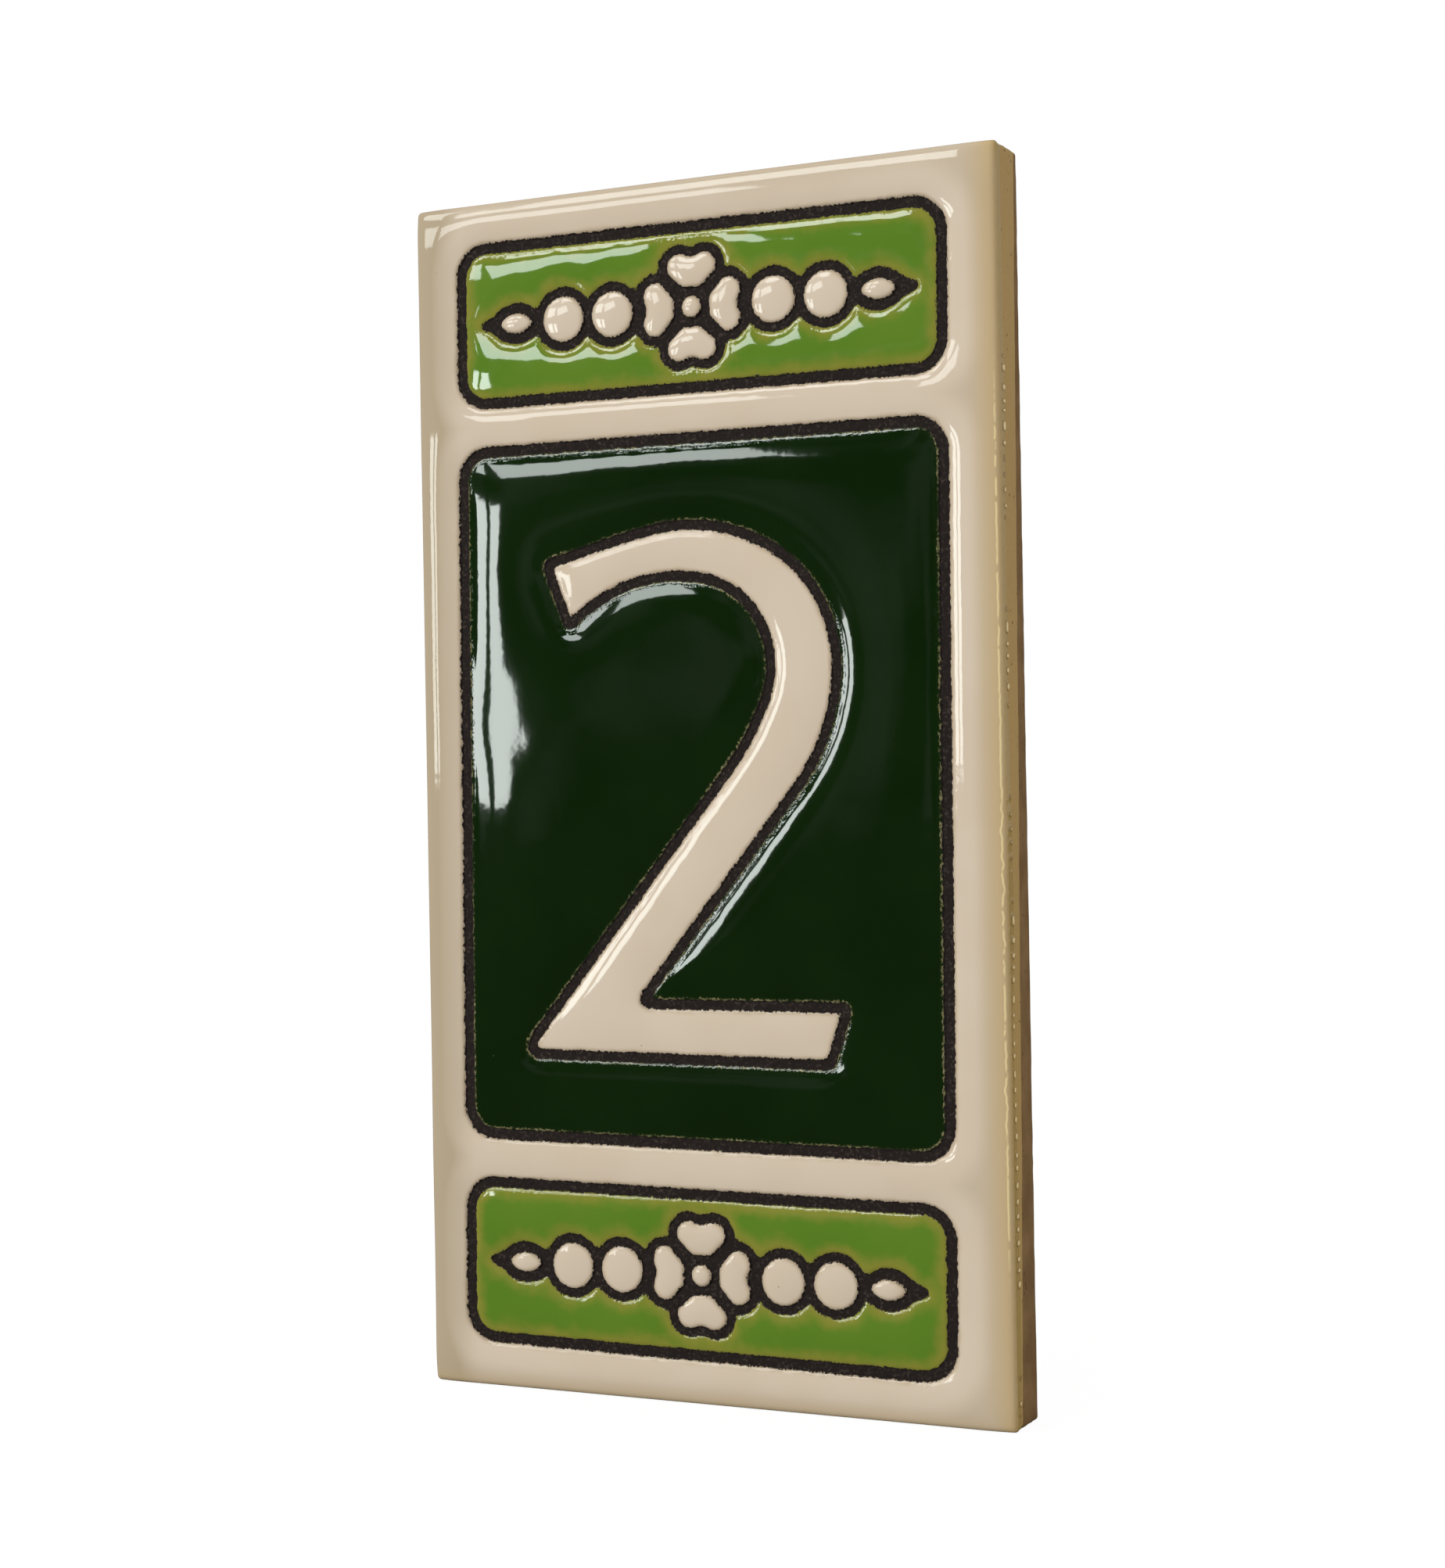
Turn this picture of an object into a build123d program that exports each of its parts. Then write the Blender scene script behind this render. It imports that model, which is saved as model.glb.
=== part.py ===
"""House number tile: a pressed clay slab whose glazes stand as raised pools between dry lines.

The tile is upright, as on a wall: +X to the right, +Z up, the glazed front towards -Y and the
flat back on the plane Y = 0, with the origin at the back's centre. All sizes are millimetres.
"""

import os
from math import sqrt

from build123d import *

# Slab
TILE_WIDTH = 55.0
TILE_HEIGHT = 105.0
CLAY_THICKNESS = 5.4  # back of the slab to the dry lines
GLAZE_DEPTH = 0.6  # how far the glaze stands above the dry lines
CORNER_RADIUS = 1.2
FRONT_EDGE_RADIUS = 1.1
BACK_EDGE_CHAMFER = 0.4
NUMERAL_BEVEL = 0.4  # where the numeral's glaze falls off into its dry line
POOL_ROOT = 0.5  # how far a pool is let into the clay

# Keying grooves pressed into the back
KEY_GROOVE_COUNT = 6
KEY_GROOVE_WIDTH = 3.6
KEY_GROOVE_DEPTH = 0.5
KEY_RIM = 5.0

# Panels, measured over the dry lines that frame them
SIDE_MARGIN = 4.35
END_MARGIN = 3.85
BAND_HEIGHT = 14.5
PANEL_GAP = 3.55
PANEL_RADIUS = 2.9
LINE_WIDTH = 1.0
PRINT_TILT = 0.42  # degrees, clockwise: the drawing sits a little askew on the slab
PRINT_SHIFT = -0.4

# Numeral, drawn at its real height and set into the number panel
NUMERAL_CLEARANCE = 7.0  # panel line to numeral, above and below
NUMERAL_DRAWN_HEIGHT = 45.1
NUMERAL_CORNER_RADIUS = 0.7
CROTCH = (-6.4, -18.65)
DIAGONAL_HEAD_OUTSIDE = (9.02, 0.32)
BOWL_OUTSIDE = [(12.68, 9.09), (7.29, 20.13), (-4.01, 22.18)]
TERMINAL_HEAD = (-13.98, 19.72)
TERMINAL_FOOT = (-12.1, 15.05)
BOWL_INSIDE = [(6.84, 7.58), (1.02, 18.49)]
DIAGONAL_HEAD_INSIDE = (3.34, 1.64)
HEEL = (-16.4, -22.5)
BAR_END_FOOT = (11.7, -22.5)
BAR_END_HEAD = (12.95, -18.65)

# Ornament: a rosette of four notched petals, with beads and a leaf on each side
ORNAMENT_LINE = 0.9
ORNAMENT_LINE_FILLET = 0.55  # where two stretches of line run together
ROSETTE_CLEARANCE = 0.85  # rosette line to band line
CENTRE_BEAD_RADIUS = 0.92
PETAL_COUNT = 4
PETAL_LOBE_SHARE = 0.233  # radius of a petal's two lobes, as a share of the petal's reach
PETAL_INNER_WIDTH = 1.7
PETAL_NOTCH_DEPTH = 0.3
PETAL_NOTCH_WIDTH = 1.6
BEADS_A_SIDE = 2
CELL_GAP = 1.1
BEAD_HEIGHT = 0.45  # dome of a bead above the dry lines
LEAF_LENGTH = 5.0
LEAF_HEIGHT = 3.2
LEAF_FLANK_PLACE = 0.45  # share of the length where the flank is measured
LEAF_FLANK_SHARE = 0.3  # its half height there, as a share of the height
LEAF_TIP_RADIUS = 0.2
LEAF_CELL_LENGTH = 3.1
LEAF_CELL_HEIGHT = 1.7
TIP_CLEARANCE = 1.45

# Places worked out from the sizes above
tile_thickness = CLAY_THICKNESS + GLAZE_DEPTH
front_edge = min(FRONT_EDGE_RADIUS, 0.95 * CORNER_RADIUS)
pool_height = POOL_ROOT + GLAZE_DEPTH
numeral_bevel = min(NUMERAL_BEVEL, 0.9 * GLAZE_DEPTH)

panel_width = TILE_WIDTH - 2 * SIDE_MARGIN
number_height = TILE_HEIGHT - 2 * (END_MARGIN + BAND_HEIGHT + PANEL_GAP)
band_place = (number_height + BAND_HEIGHT) / 2 + PANEL_GAP
band_places = [(0, band_place), (0, -band_place)]
field_width = panel_width - 2 * LINE_WIDTH
field_radius = PANEL_RADIUS - LINE_WIDTH
numeral_scale = (number_height - 2 * (LINE_WIDTH + NUMERAL_CLEARANCE)) / NUMERAL_DRAWN_HEIGHT

petal_inner = CENTRE_BEAD_RADIUS + ORNAMENT_LINE
petal_reach = BAND_HEIGHT / 2 - LINE_WIDTH - ROSETTE_CLEARANCE - ORNAMENT_LINE
lobe_radius = PETAL_LOBE_SHARE * petal_reach
lobe_reach = petal_reach - lobe_radius
lobe_side = lobe_reach - sqrt(2) * (lobe_radius + CELL_GAP / 2)
notch_radius = (PETAL_NOTCH_WIDTH**2 / 4 + PETAL_NOTCH_DEPTH**2) / (2 * PETAL_NOTCH_DEPTH)
lobe_places = [(-lobe_side, lobe_reach), (lobe_side, lobe_reach)]

leaf_tip = panel_width / 2 - LINE_WIDTH - TIP_CLEARANCE
leaf_start = leaf_tip - LEAF_LENGTH
leaf_places = [Location((leaf_start, 0)), Location((-leaf_start, 0), (0, 0, 180))]
bead_pitch = (leaf_start - petal_reach - CELL_GAP) / BEADS_A_SIDE
bead_radius = (bead_pitch - CELL_GAP) / 2
first_bead = petal_reach + CELL_GAP + bead_radius
bead_places = [(side * (first_bead + i * bead_pitch), 0) for i in range(BEADS_A_SIDE) for side in (-1, 1)]

print_x = Vector(1, 0, 0).rotate(Axis.Y, PRINT_TILT)
print_plane = Plane((PRINT_SHIFT, -CLAY_THICKNESS, 0), x_dir=print_x, z_dir=(0, -1, 0))
root_plane = print_plane.offset(-POOL_ROOT)


def dome_radius(rim_radius):
    """Radius of the ball whose cap has that rim and stands at the bead height."""
    return (rim_radius**2 + BEAD_HEIGHT**2) / (2 * BEAD_HEIGHT)


# Outlines of the drawing
with BuildSketch() as numeral:
    with BuildLine():
        stroke = Line(CROTCH, DIAGONAL_HEAD_OUTSIDE)
        for joint in [*BOWL_OUTSIDE, TERMINAL_HEAD]:
            stroke = TangentArc(stroke @ 1, joint, tangent=stroke % 1)
        Line(TERMINAL_HEAD, TERMINAL_FOOT)
        stroke = Line(HEEL, DIAGONAL_HEAD_INSIDE)
        for joint in [*BOWL_INSIDE, TERMINAL_FOOT]:
            stroke = TangentArc(stroke @ 1, joint, tangent=stroke % 1)
        Polyline(HEEL, BAR_END_FOOT, BAR_END_HEAD, CROTCH)
    make_face()
    fillet(numeral.vertices().sort_by_distance(CROTCH)[0], NUMERAL_CORNER_RADIUS)
    fillet(numeral.vertices().sort_by_distance(HEEL)[0], NUMERAL_CORNER_RADIUS)
    scale(by=numeral_scale)

with BuildSketch() as petal:
    with BuildLine(mode=Mode.PRIVATE) as petal_rim:
        for place in lobe_places:
            CenterArc(place, lobe_radius, 0, 360)
        Line((-PETAL_INNER_WIDTH / 2, petal_inner), (PETAL_INNER_WIDTH / 2, petal_inner))
    make_hull(petal_rim.edges())
    with Locations((0, petal_reach - PETAL_NOTCH_DEPTH + notch_radius)):
        Circle(notch_radius, mode=Mode.SUBTRACT)

with BuildSketch() as leaf_cell:
    with BuildLine():
        ThreePointArc((0, 0), (LEAF_CELL_LENGTH / 2, LEAF_CELL_HEIGHT / 2), (LEAF_CELL_LENGTH, 0))
        mirror(about=Plane.XZ)
    make_face()

with BuildSketch() as leaf:
    with BuildLine():
        root = (-CELL_GAP, LEAF_HEIGHT / 2)
        flank = (LEAF_FLANK_PLACE * LEAF_LENGTH, LEAF_FLANK_SHARE * LEAF_HEIGHT)
        Line((-CELL_GAP, 0), root)
        ThreePointArc(root, flank, (LEAF_LENGTH, 0))
        mirror(about=Plane.XZ)
    make_face()
    fillet(leaf.vertices().sort_by(Axis.X)[-1], LEAF_TIP_RADIUS)

with BuildSketch() as ornament_lines:
    Circle(lobe_reach)
    with PolarLocations(0, PETAL_COUNT):
        with Locations(*lobe_places):
            Circle(lobe_radius + ORNAMENT_LINE)
    with Locations(*bead_places):
        Circle(bead_radius + ORNAMENT_LINE)
    with Locations(*leaf_places):
        add(leaf.sketch)
    junctions = ornament_lines.vertices().filter_by_position(Axis.X, -leaf_start, leaf_start)
    fillet(junctions, ORNAMENT_LINE_FILLET)


# Glaze pools of the number panel and the bands, let into the clay
with BuildPart() as number_field:
    with BuildSketch(root_plane):
        RectangleRounded(field_width, number_height - 2 * LINE_WIDTH, field_radius)
        offset(numeral.sketch, amount=LINE_WIDTH, mode=Mode.SUBTRACT)
    extrude(amount=pool_height)

with BuildPart() as numeral_pool:
    with BuildSketch(root_plane):
        add(numeral.sketch)
    extrude(amount=pool_height)
    chamfer(numeral_pool.faces().sort_by(Axis.Y)[0].edges(), numeral_bevel)

with BuildPart() as band_fields:
    with BuildSketch(root_plane):
        with Locations(*band_places):
            RectangleRounded(field_width, BAND_HEIGHT - 2 * LINE_WIDTH, field_radius)
            add(ornament_lines.sketch, mode=Mode.SUBTRACT)
    extrude(amount=pool_height)


# Cells of the ornament: beads domed like drops of glaze, petals and leaves as small pools
with BuildPart() as bead:
    with Locations((0, 0, BEAD_HEIGHT - dome_radius(bead_radius))):
        Sphere(dome_radius(bead_radius))
    split(bisect_by=Plane.XY.offset(-POOL_ROOT))

with BuildPart() as centre_bead:
    with Locations((0, 0, BEAD_HEIGHT - dome_radius(CENTRE_BEAD_RADIUS))):
        Sphere(dome_radius(CENTRE_BEAD_RADIUS))
    split(bisect_by=Plane.XY.offset(-POOL_ROOT))

with BuildPart() as petals_and_leaves:
    with BuildSketch(root_plane):
        with Locations(*band_places):
            with PolarLocations(0, PETAL_COUNT):
                add(petal.sketch)
            with Locations(*leaf_places):
                add(leaf_cell.sketch)
    extrude(amount=pool_height)


# Slab: border all round, sunk to the dry lines in each panel, with the pools and cells set in
with BuildPart() as tile:
    with BuildSketch(Plane.XZ):
        RectangleRounded(TILE_WIDTH, TILE_HEIGHT, CORNER_RADIUS)
    extrude(amount=tile_thickness)
    with BuildSketch(print_plane):
        RectangleRounded(panel_width, number_height, PANEL_RADIUS)
        with Locations(*band_places):
            RectangleRounded(panel_width, BAND_HEIGHT, PANEL_RADIUS)
    extrude(amount=2 * GLAZE_DEPTH, mode=Mode.SUBTRACT)  # past the front, for a clean rim
    fillet(tile.faces().sort_by(Axis.Y)[0].outer_wire().edges(), front_edge)
    chamfer(tile.faces().sort_by(Axis.Y)[-1].edges(), BACK_EDGE_CHAMFER)
    with BuildSketch(Plane.XZ):
        with GridLocations((TILE_WIDTH - 2 * KEY_RIM) / KEY_GROOVE_COUNT, 0, KEY_GROOVE_COUNT, 1):
            Rectangle(KEY_GROOVE_WIDTH, TILE_HEIGHT - 2 * KEY_RIM)
    extrude(amount=KEY_GROOVE_DEPTH, mode=Mode.SUBTRACT)
    add(number_field.part)
    add(numeral_pool.part)
    add(band_fields.part)
    add(petals_and_leaves.part)
    with Locations(print_plane):
        with Locations(*band_places):
            add(centre_bead.part)
            with Locations(*bead_places):
                add(bead.part)

tile.part.label = "tile"
os.makedirs("parts", exist_ok=True)
export_step(tile.part, "parts/tile.step")
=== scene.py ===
"""Visual model of a glazed house number tile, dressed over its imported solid.

Lengths in the classes are millimetres in the row frame: +X right, +Z up, the glazed front towards
-Y and the flat back on Y = 0. Meshes are handed to Blender in metres.
"""

import logging
import math
from dataclasses import dataclass, field
from enum import Enum
from typing import Union

import bpy
import numpy as np
from mathutils import Matrix, Vector
from mathutils.geometry import delaunay_2d_cdt


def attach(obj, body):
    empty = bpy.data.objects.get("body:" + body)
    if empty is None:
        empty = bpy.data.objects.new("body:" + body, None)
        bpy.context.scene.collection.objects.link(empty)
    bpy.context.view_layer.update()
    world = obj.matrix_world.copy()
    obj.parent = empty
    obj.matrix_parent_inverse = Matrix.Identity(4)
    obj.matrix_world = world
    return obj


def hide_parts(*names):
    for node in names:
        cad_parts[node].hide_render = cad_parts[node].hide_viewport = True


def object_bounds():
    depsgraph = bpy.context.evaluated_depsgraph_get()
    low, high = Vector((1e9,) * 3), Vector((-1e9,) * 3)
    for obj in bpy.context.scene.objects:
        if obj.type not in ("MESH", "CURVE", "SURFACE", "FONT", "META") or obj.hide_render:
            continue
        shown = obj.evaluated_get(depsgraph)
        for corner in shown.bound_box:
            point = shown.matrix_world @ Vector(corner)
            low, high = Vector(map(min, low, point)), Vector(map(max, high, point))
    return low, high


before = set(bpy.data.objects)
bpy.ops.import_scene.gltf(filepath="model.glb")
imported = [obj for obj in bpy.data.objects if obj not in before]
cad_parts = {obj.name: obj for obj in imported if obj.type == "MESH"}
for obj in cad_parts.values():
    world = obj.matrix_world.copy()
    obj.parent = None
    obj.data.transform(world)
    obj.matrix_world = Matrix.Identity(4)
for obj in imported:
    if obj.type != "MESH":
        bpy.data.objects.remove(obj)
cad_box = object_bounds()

MM = 0.001
WHITE = (1.0, 1.0, 1.0)
SMOOTH = 1.0  # octaves of noise with no finer detail
TINY = 1e-9  # keeps divisors off zero
log = logging.getLogger("house_number_tile")

Array = np.ndarray
Number = Union[float, "Signal"]
Colour = tuple[float, float, float]
Point = tuple[float, float]
Span = tuple[float, float]


class Slot(Enum):
    """Material slots of the record. Each glaze pool keeps one, but nothing here reads it."""

    CREAM = "cream_glaze"
    DARK_GREEN = "dark_green_glaze"
    LIGHT_GREEN = "light_green_glaze"
    LINE = "dry_line"
    CLAY = "clay"


class Signal:
    """A shader value that can stand in Python expressions."""

    def __init__(self, graph: "Graph", socket: bpy.types.NodeSocket) -> None:
        """Keeps the socket and the graph that it belongs to."""
        self.graph = graph
        self.socket = socket

    def math(self, operation: str, *values: Number) -> "Signal":
        """Adds one Math node.

        Args:
            operation: The node's operation, such as "MULTIPLY".
            values: Its inputs in order.

        Returns:
            The node's result.
        """
        inputs = dict(enumerate(values))
        node = self.graph.add("ShaderNodeMath", {"operation": operation}, inputs)
        return Signal(self.graph, node.outputs[0])

    def __add__(self, other: Number) -> "Signal":
        """Sum."""
        return self.math("ADD", self, other)

    def __radd__(self, other: float) -> "Signal":
        """Sum with a number on the left."""
        return self.math("ADD", other, self)

    def __sub__(self, other: Number) -> "Signal":
        """Difference."""
        return self.math("SUBTRACT", self, other)

    def __rsub__(self, other: float) -> "Signal":
        """Difference from a number on the left."""
        return self.math("SUBTRACT", other, self)

    def __mul__(self, other: Number) -> "Signal":
        """Product."""
        return self.math("MULTIPLY", self, other)

    def __rmul__(self, other: float) -> "Signal":
        """Product with a number on the left."""
        return self.math("MULTIPLY", other, self)

    def ramp(self, low: float, high: float) -> "Signal":
        """Goes smoothly from 0 at low to 1 at high.

        Args:
            low: Value that gives 0.
            high: Value that gives 1, which may be under low.

        Returns:
            The smooth step.
        """
        settings = {"interpolation_type": "SMOOTHSTEP"}
        inputs = {"Value": self, "From Min": low, "From Max": high}
        if low > high:
            inputs |= {"From Min": high, "From Max": low, "To Min": 1.0, "To Max": 0.0}
        return Signal(self.graph, self.graph.add("ShaderNodeMapRange", settings, inputs).outputs[0])


class Graph:
    """Node tree of a material or of the world."""

    def __init__(self, tree: bpy.types.NodeTree) -> None:
        """Empties the tree."""
        self.tree = tree
        tree.nodes.clear()

    def add(self, kind: str, settings: dict | None = None, inputs: dict | None = None) -> bpy.types.Node:
        """Adds a node.

        Args:
            kind: The node's type.
            settings: Properties that are set before the inputs.
            inputs: Values, signals or sockets for its inputs, by name or place.

        Returns:
            The node.
        """
        node = self.tree.nodes.new(kind)
        for name, value in (settings or {}).items():
            setattr(node, name, value)
        for key, value in (inputs or {}).items():
            if isinstance(value, Signal):
                value = value.socket
            if isinstance(value, bpy.types.NodeSocket):
                self.tree.links.new(value, node.inputs[key])
            elif isinstance(value, tuple) and len(value) == 3 and node.inputs[key].type == "RGBA":
                node.inputs[key].default_value = (*value, 1.0)
            else:
                node.inputs[key].default_value = value
        return node

    def signal(self, node: bpy.types.Node, output: str | int) -> Signal:
        """Wraps one of a node's outputs."""
        return Signal(self, node.outputs[output])

    def attribute(self, name: str) -> Signal:
        """Reads a number that the mesh carries at its vertices."""
        return self.signal(self.add("ShaderNodeAttribute", {"attribute_name": name}), "Fac")

    def place(self) -> bpy.types.NodeSocket:
        """Position on the object, in metres."""
        return self.add("ShaderNodeTexCoord").outputs["Object"]

    def noise(self, wavelength: float, detail: float = 2.0, stretch: Colour = (1.0, 1.0, 1.0)) -> Signal:
        """Adds noise that varies over the object.

        Args:
            wavelength: Size of its largest features, in millimetres.
            detail: Octaves of finer noise.
            stretch: Scale of each axis, for streaks.

        Returns:
            Values around 0.5.
        """
        mapped = self.add("ShaderNodeMapping", {}, {"Vector": self.place(), "Scale": stretch})
        inputs = {"Vector": mapped.outputs[0], "Scale": 1 / (wavelength * MM), "Detail": detail}
        return self.signal(self.add("ShaderNodeTexNoise", {}, inputs), 0)

    def wobble(self, wavelength: float, detail: float = 2.0, stretch: Colour = (1.0, 1.0, 1.0)) -> Signal:
        """Noise of the same kind, around 0."""
        return self.noise(wavelength, detail, stretch) - 0.5

    def split(self, vector: bpy.types.NodeSocket) -> list[Signal]:
        """Splits a vector into its three numbers."""
        node = self.add("ShaderNodeSeparateXYZ", {}, {"Vector": vector})
        return [self.signal(node, axis) for axis in range(3)]

    def specks(self, spacing: float, size: float) -> Signal:
        """Scatters round specks.

        Args:
            spacing: Mean distance between cells, in millimetres.
            size: Radius of a speck as a share of a cell.

        Returns:
            1 inside a speck and 0 outside.
        """
        core = 0.6 * size
        inputs = {"Vector": self.place(), "Scale": 1 / (spacing * MM)}
        cells = self.add("ShaderNodeTexVoronoi", {"feature": "F1"}, inputs)
        return self.signal(cells, "Distance").ramp(size, core)

    def mix(self, factor: Number, first: object, second: object) -> bpy.types.NodeSocket:
        """Mixes two colours.

        Args:
            factor: Share of the second colour.
            first: Colour or colour socket.
            second: Colour or colour socket.

        Returns:
            The mixed colour's socket.
        """
        settings = {"data_type": "RGBA"}
        node = self.add("ShaderNodeMix", settings, {"Factor": factor, 6: first, 7: second})
        return node.outputs[2]

    def bump(self, height: Signal, depth: float) -> bpy.types.NodeSocket:
        """Turns a height signal into a normal, with the depth of one unit in millimetres."""
        node = self.add("ShaderNodeBump", {}, {"Height": height, "Strength": 1.0, "Distance": depth * MM})
        return node.outputs[0]

    def glow(self, strength: float) -> bpy.types.NodeSocket:
        """Adds a white light of a strength and gives its shader."""
        return self.add("ShaderNodeEmission", {}, {"Color": WHITE, "Strength": strength}).outputs[0]

    def surface(self, inputs: dict) -> None:
        """Adds a Principled shader with these inputs and joins it to the output."""
        shader = self.add("ShaderNodeBsdfPrincipled", {}, inputs)
        self.add("ShaderNodeOutputMaterial", {}, {"Surface": shader.outputs[0]})


def start_material(name: str) -> tuple[bpy.types.Material, Graph]:
    """Starts a material.

    Args:
        name: Its name.

    Returns:
        The material and its empty node tree.
    """
    material = bpy.data.materials.new(name)
    material.use_nodes = True
    return material, Graph(material.node_tree)


@dataclass(frozen=True)
class GlazeFinish:
    """Glossy fired glaze, which is thin and yellower along its lines and torn where it meets them."""

    name: str
    pool: Colour
    thin: Colour
    cloud: Colour
    cloud_share: float
    thin_reach: float
    hairline: Colour
    hairline_share: float = 0.3
    hairline_band: Span = (2.2, 1.1)
    pigment: Colour = (0.018, 0.011, 0.009)
    torn_reach: float = 0.14
    torn_core: float = 0.55
    torn_roughness: float = 0.8
    bleed: float = 0.3
    bleed_reach: float = 0.42
    roughness: float = 0.04
    gloss: float = 0.5
    ior: float = 1.52
    speck: Colour = (0.12, 0.07, 0.04)
    speck_share: float = 0.5
    speck_spacing: float = 2.6
    speck_size: float = 0.035
    speck_patch: float = 7.0
    speck_patch_span: Span = (0.52, 0.6)
    cloud_size: float = 9.0
    cloud_span: Span = (0.35, 0.7)
    rag_size: float = 1.6
    tooth_size: float = 0.17
    tooth_stretch: Colour = (1.0, 1.0, 0.5)
    tooth_length: float = 3.4
    dot_size: float = 0.35
    dot_span: Span = (0.36, 0.62)
    dot_patch: float = 5.0
    dot_patch_span: Span = (0.3, 0.6)
    ripple: float = 0.0022
    ripple_size: float = 2.2
    fine_ripple_size: float = 0.7
    fine_ripple_share: float = 0.4
    pit_depth: float = 3.0
    crumb_size: float = 0.28
    crumb_band: Span = (0.65, 0.1)
    crumb_height: float = 9.0

    def colour(self, graph: Graph, edge: Signal) -> bpy.types.NodeSocket:
        """Colour of the glaze before its edge is torn.

        Args:
            graph: The material's nodes.
            edge: Distance from the dry line, in millimetres.

        Returns:
            The colour's socket.
        """
        cloud = graph.noise(self.cloud_size).ramp(*self.cloud_span) * self.cloud_share
        colour = graph.mix(cloud, self.pool, self.cloud)
        ragged = edge + graph.wobble(self.rag_size) * self.thin_reach
        return graph.mix(ragged.ramp(self.thin_reach, 0.0), colour, self.thin)

    def make(self) -> bpy.types.Material:
        """Builds the material.

        Returns:
            The glaze.
        """
        material, graph = start_material(self.name)
        edge = graph.attribute("edge")
        colour = self.colour(graph, edge)
        teeth = graph.wobble(self.tooth_size, stretch=self.tooth_stretch)
        frayed = edge + teeth * self.tooth_length * self.torn_reach
        dots = graph.noise(self.dot_size).ramp(*self.dot_span)
        dots = dots * graph.noise(self.dot_patch).ramp(*self.dot_patch_span) * self.hairline_share
        hairline = frayed.ramp(*(share * self.torn_reach for share in self.hairline_band)) * dots
        torn = frayed.ramp(self.torn_reach, self.torn_core * self.torn_reach)
        colour = graph.mix(hairline, colour, self.hairline)
        patches = graph.noise(self.speck_patch, SMOOTH).ramp(*self.speck_patch_span)
        specks = graph.specks(self.speck_spacing, self.speck_size) * patches * self.speck_share
        colour = graph.mix(specks, colour, self.speck)
        colour = graph.mix(edge.ramp(self.bleed_reach, 0.0) * self.bleed, colour, self.pigment)
        colour = graph.mix(torn, colour, self.pigment)
        fine = graph.noise(self.fine_ripple_size, SMOOTH) * self.fine_ripple_share
        ripple = graph.noise(self.ripple_size, SMOOTH) + fine - specks * self.pit_depth
        crumbs = graph.noise(self.crumb_size) * edge.ramp(*self.crumb_band)
        graph.surface({
            "Base Color": colour,
            "Roughness": self.roughness + torn * (self.torn_roughness - self.roughness),
            "IOR": self.ior,
            "Specular IOR Level": self.gloss,
            "Normal": graph.bump(ripple + crumbs * self.crumb_height, self.ripple),
        })
        return material


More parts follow.
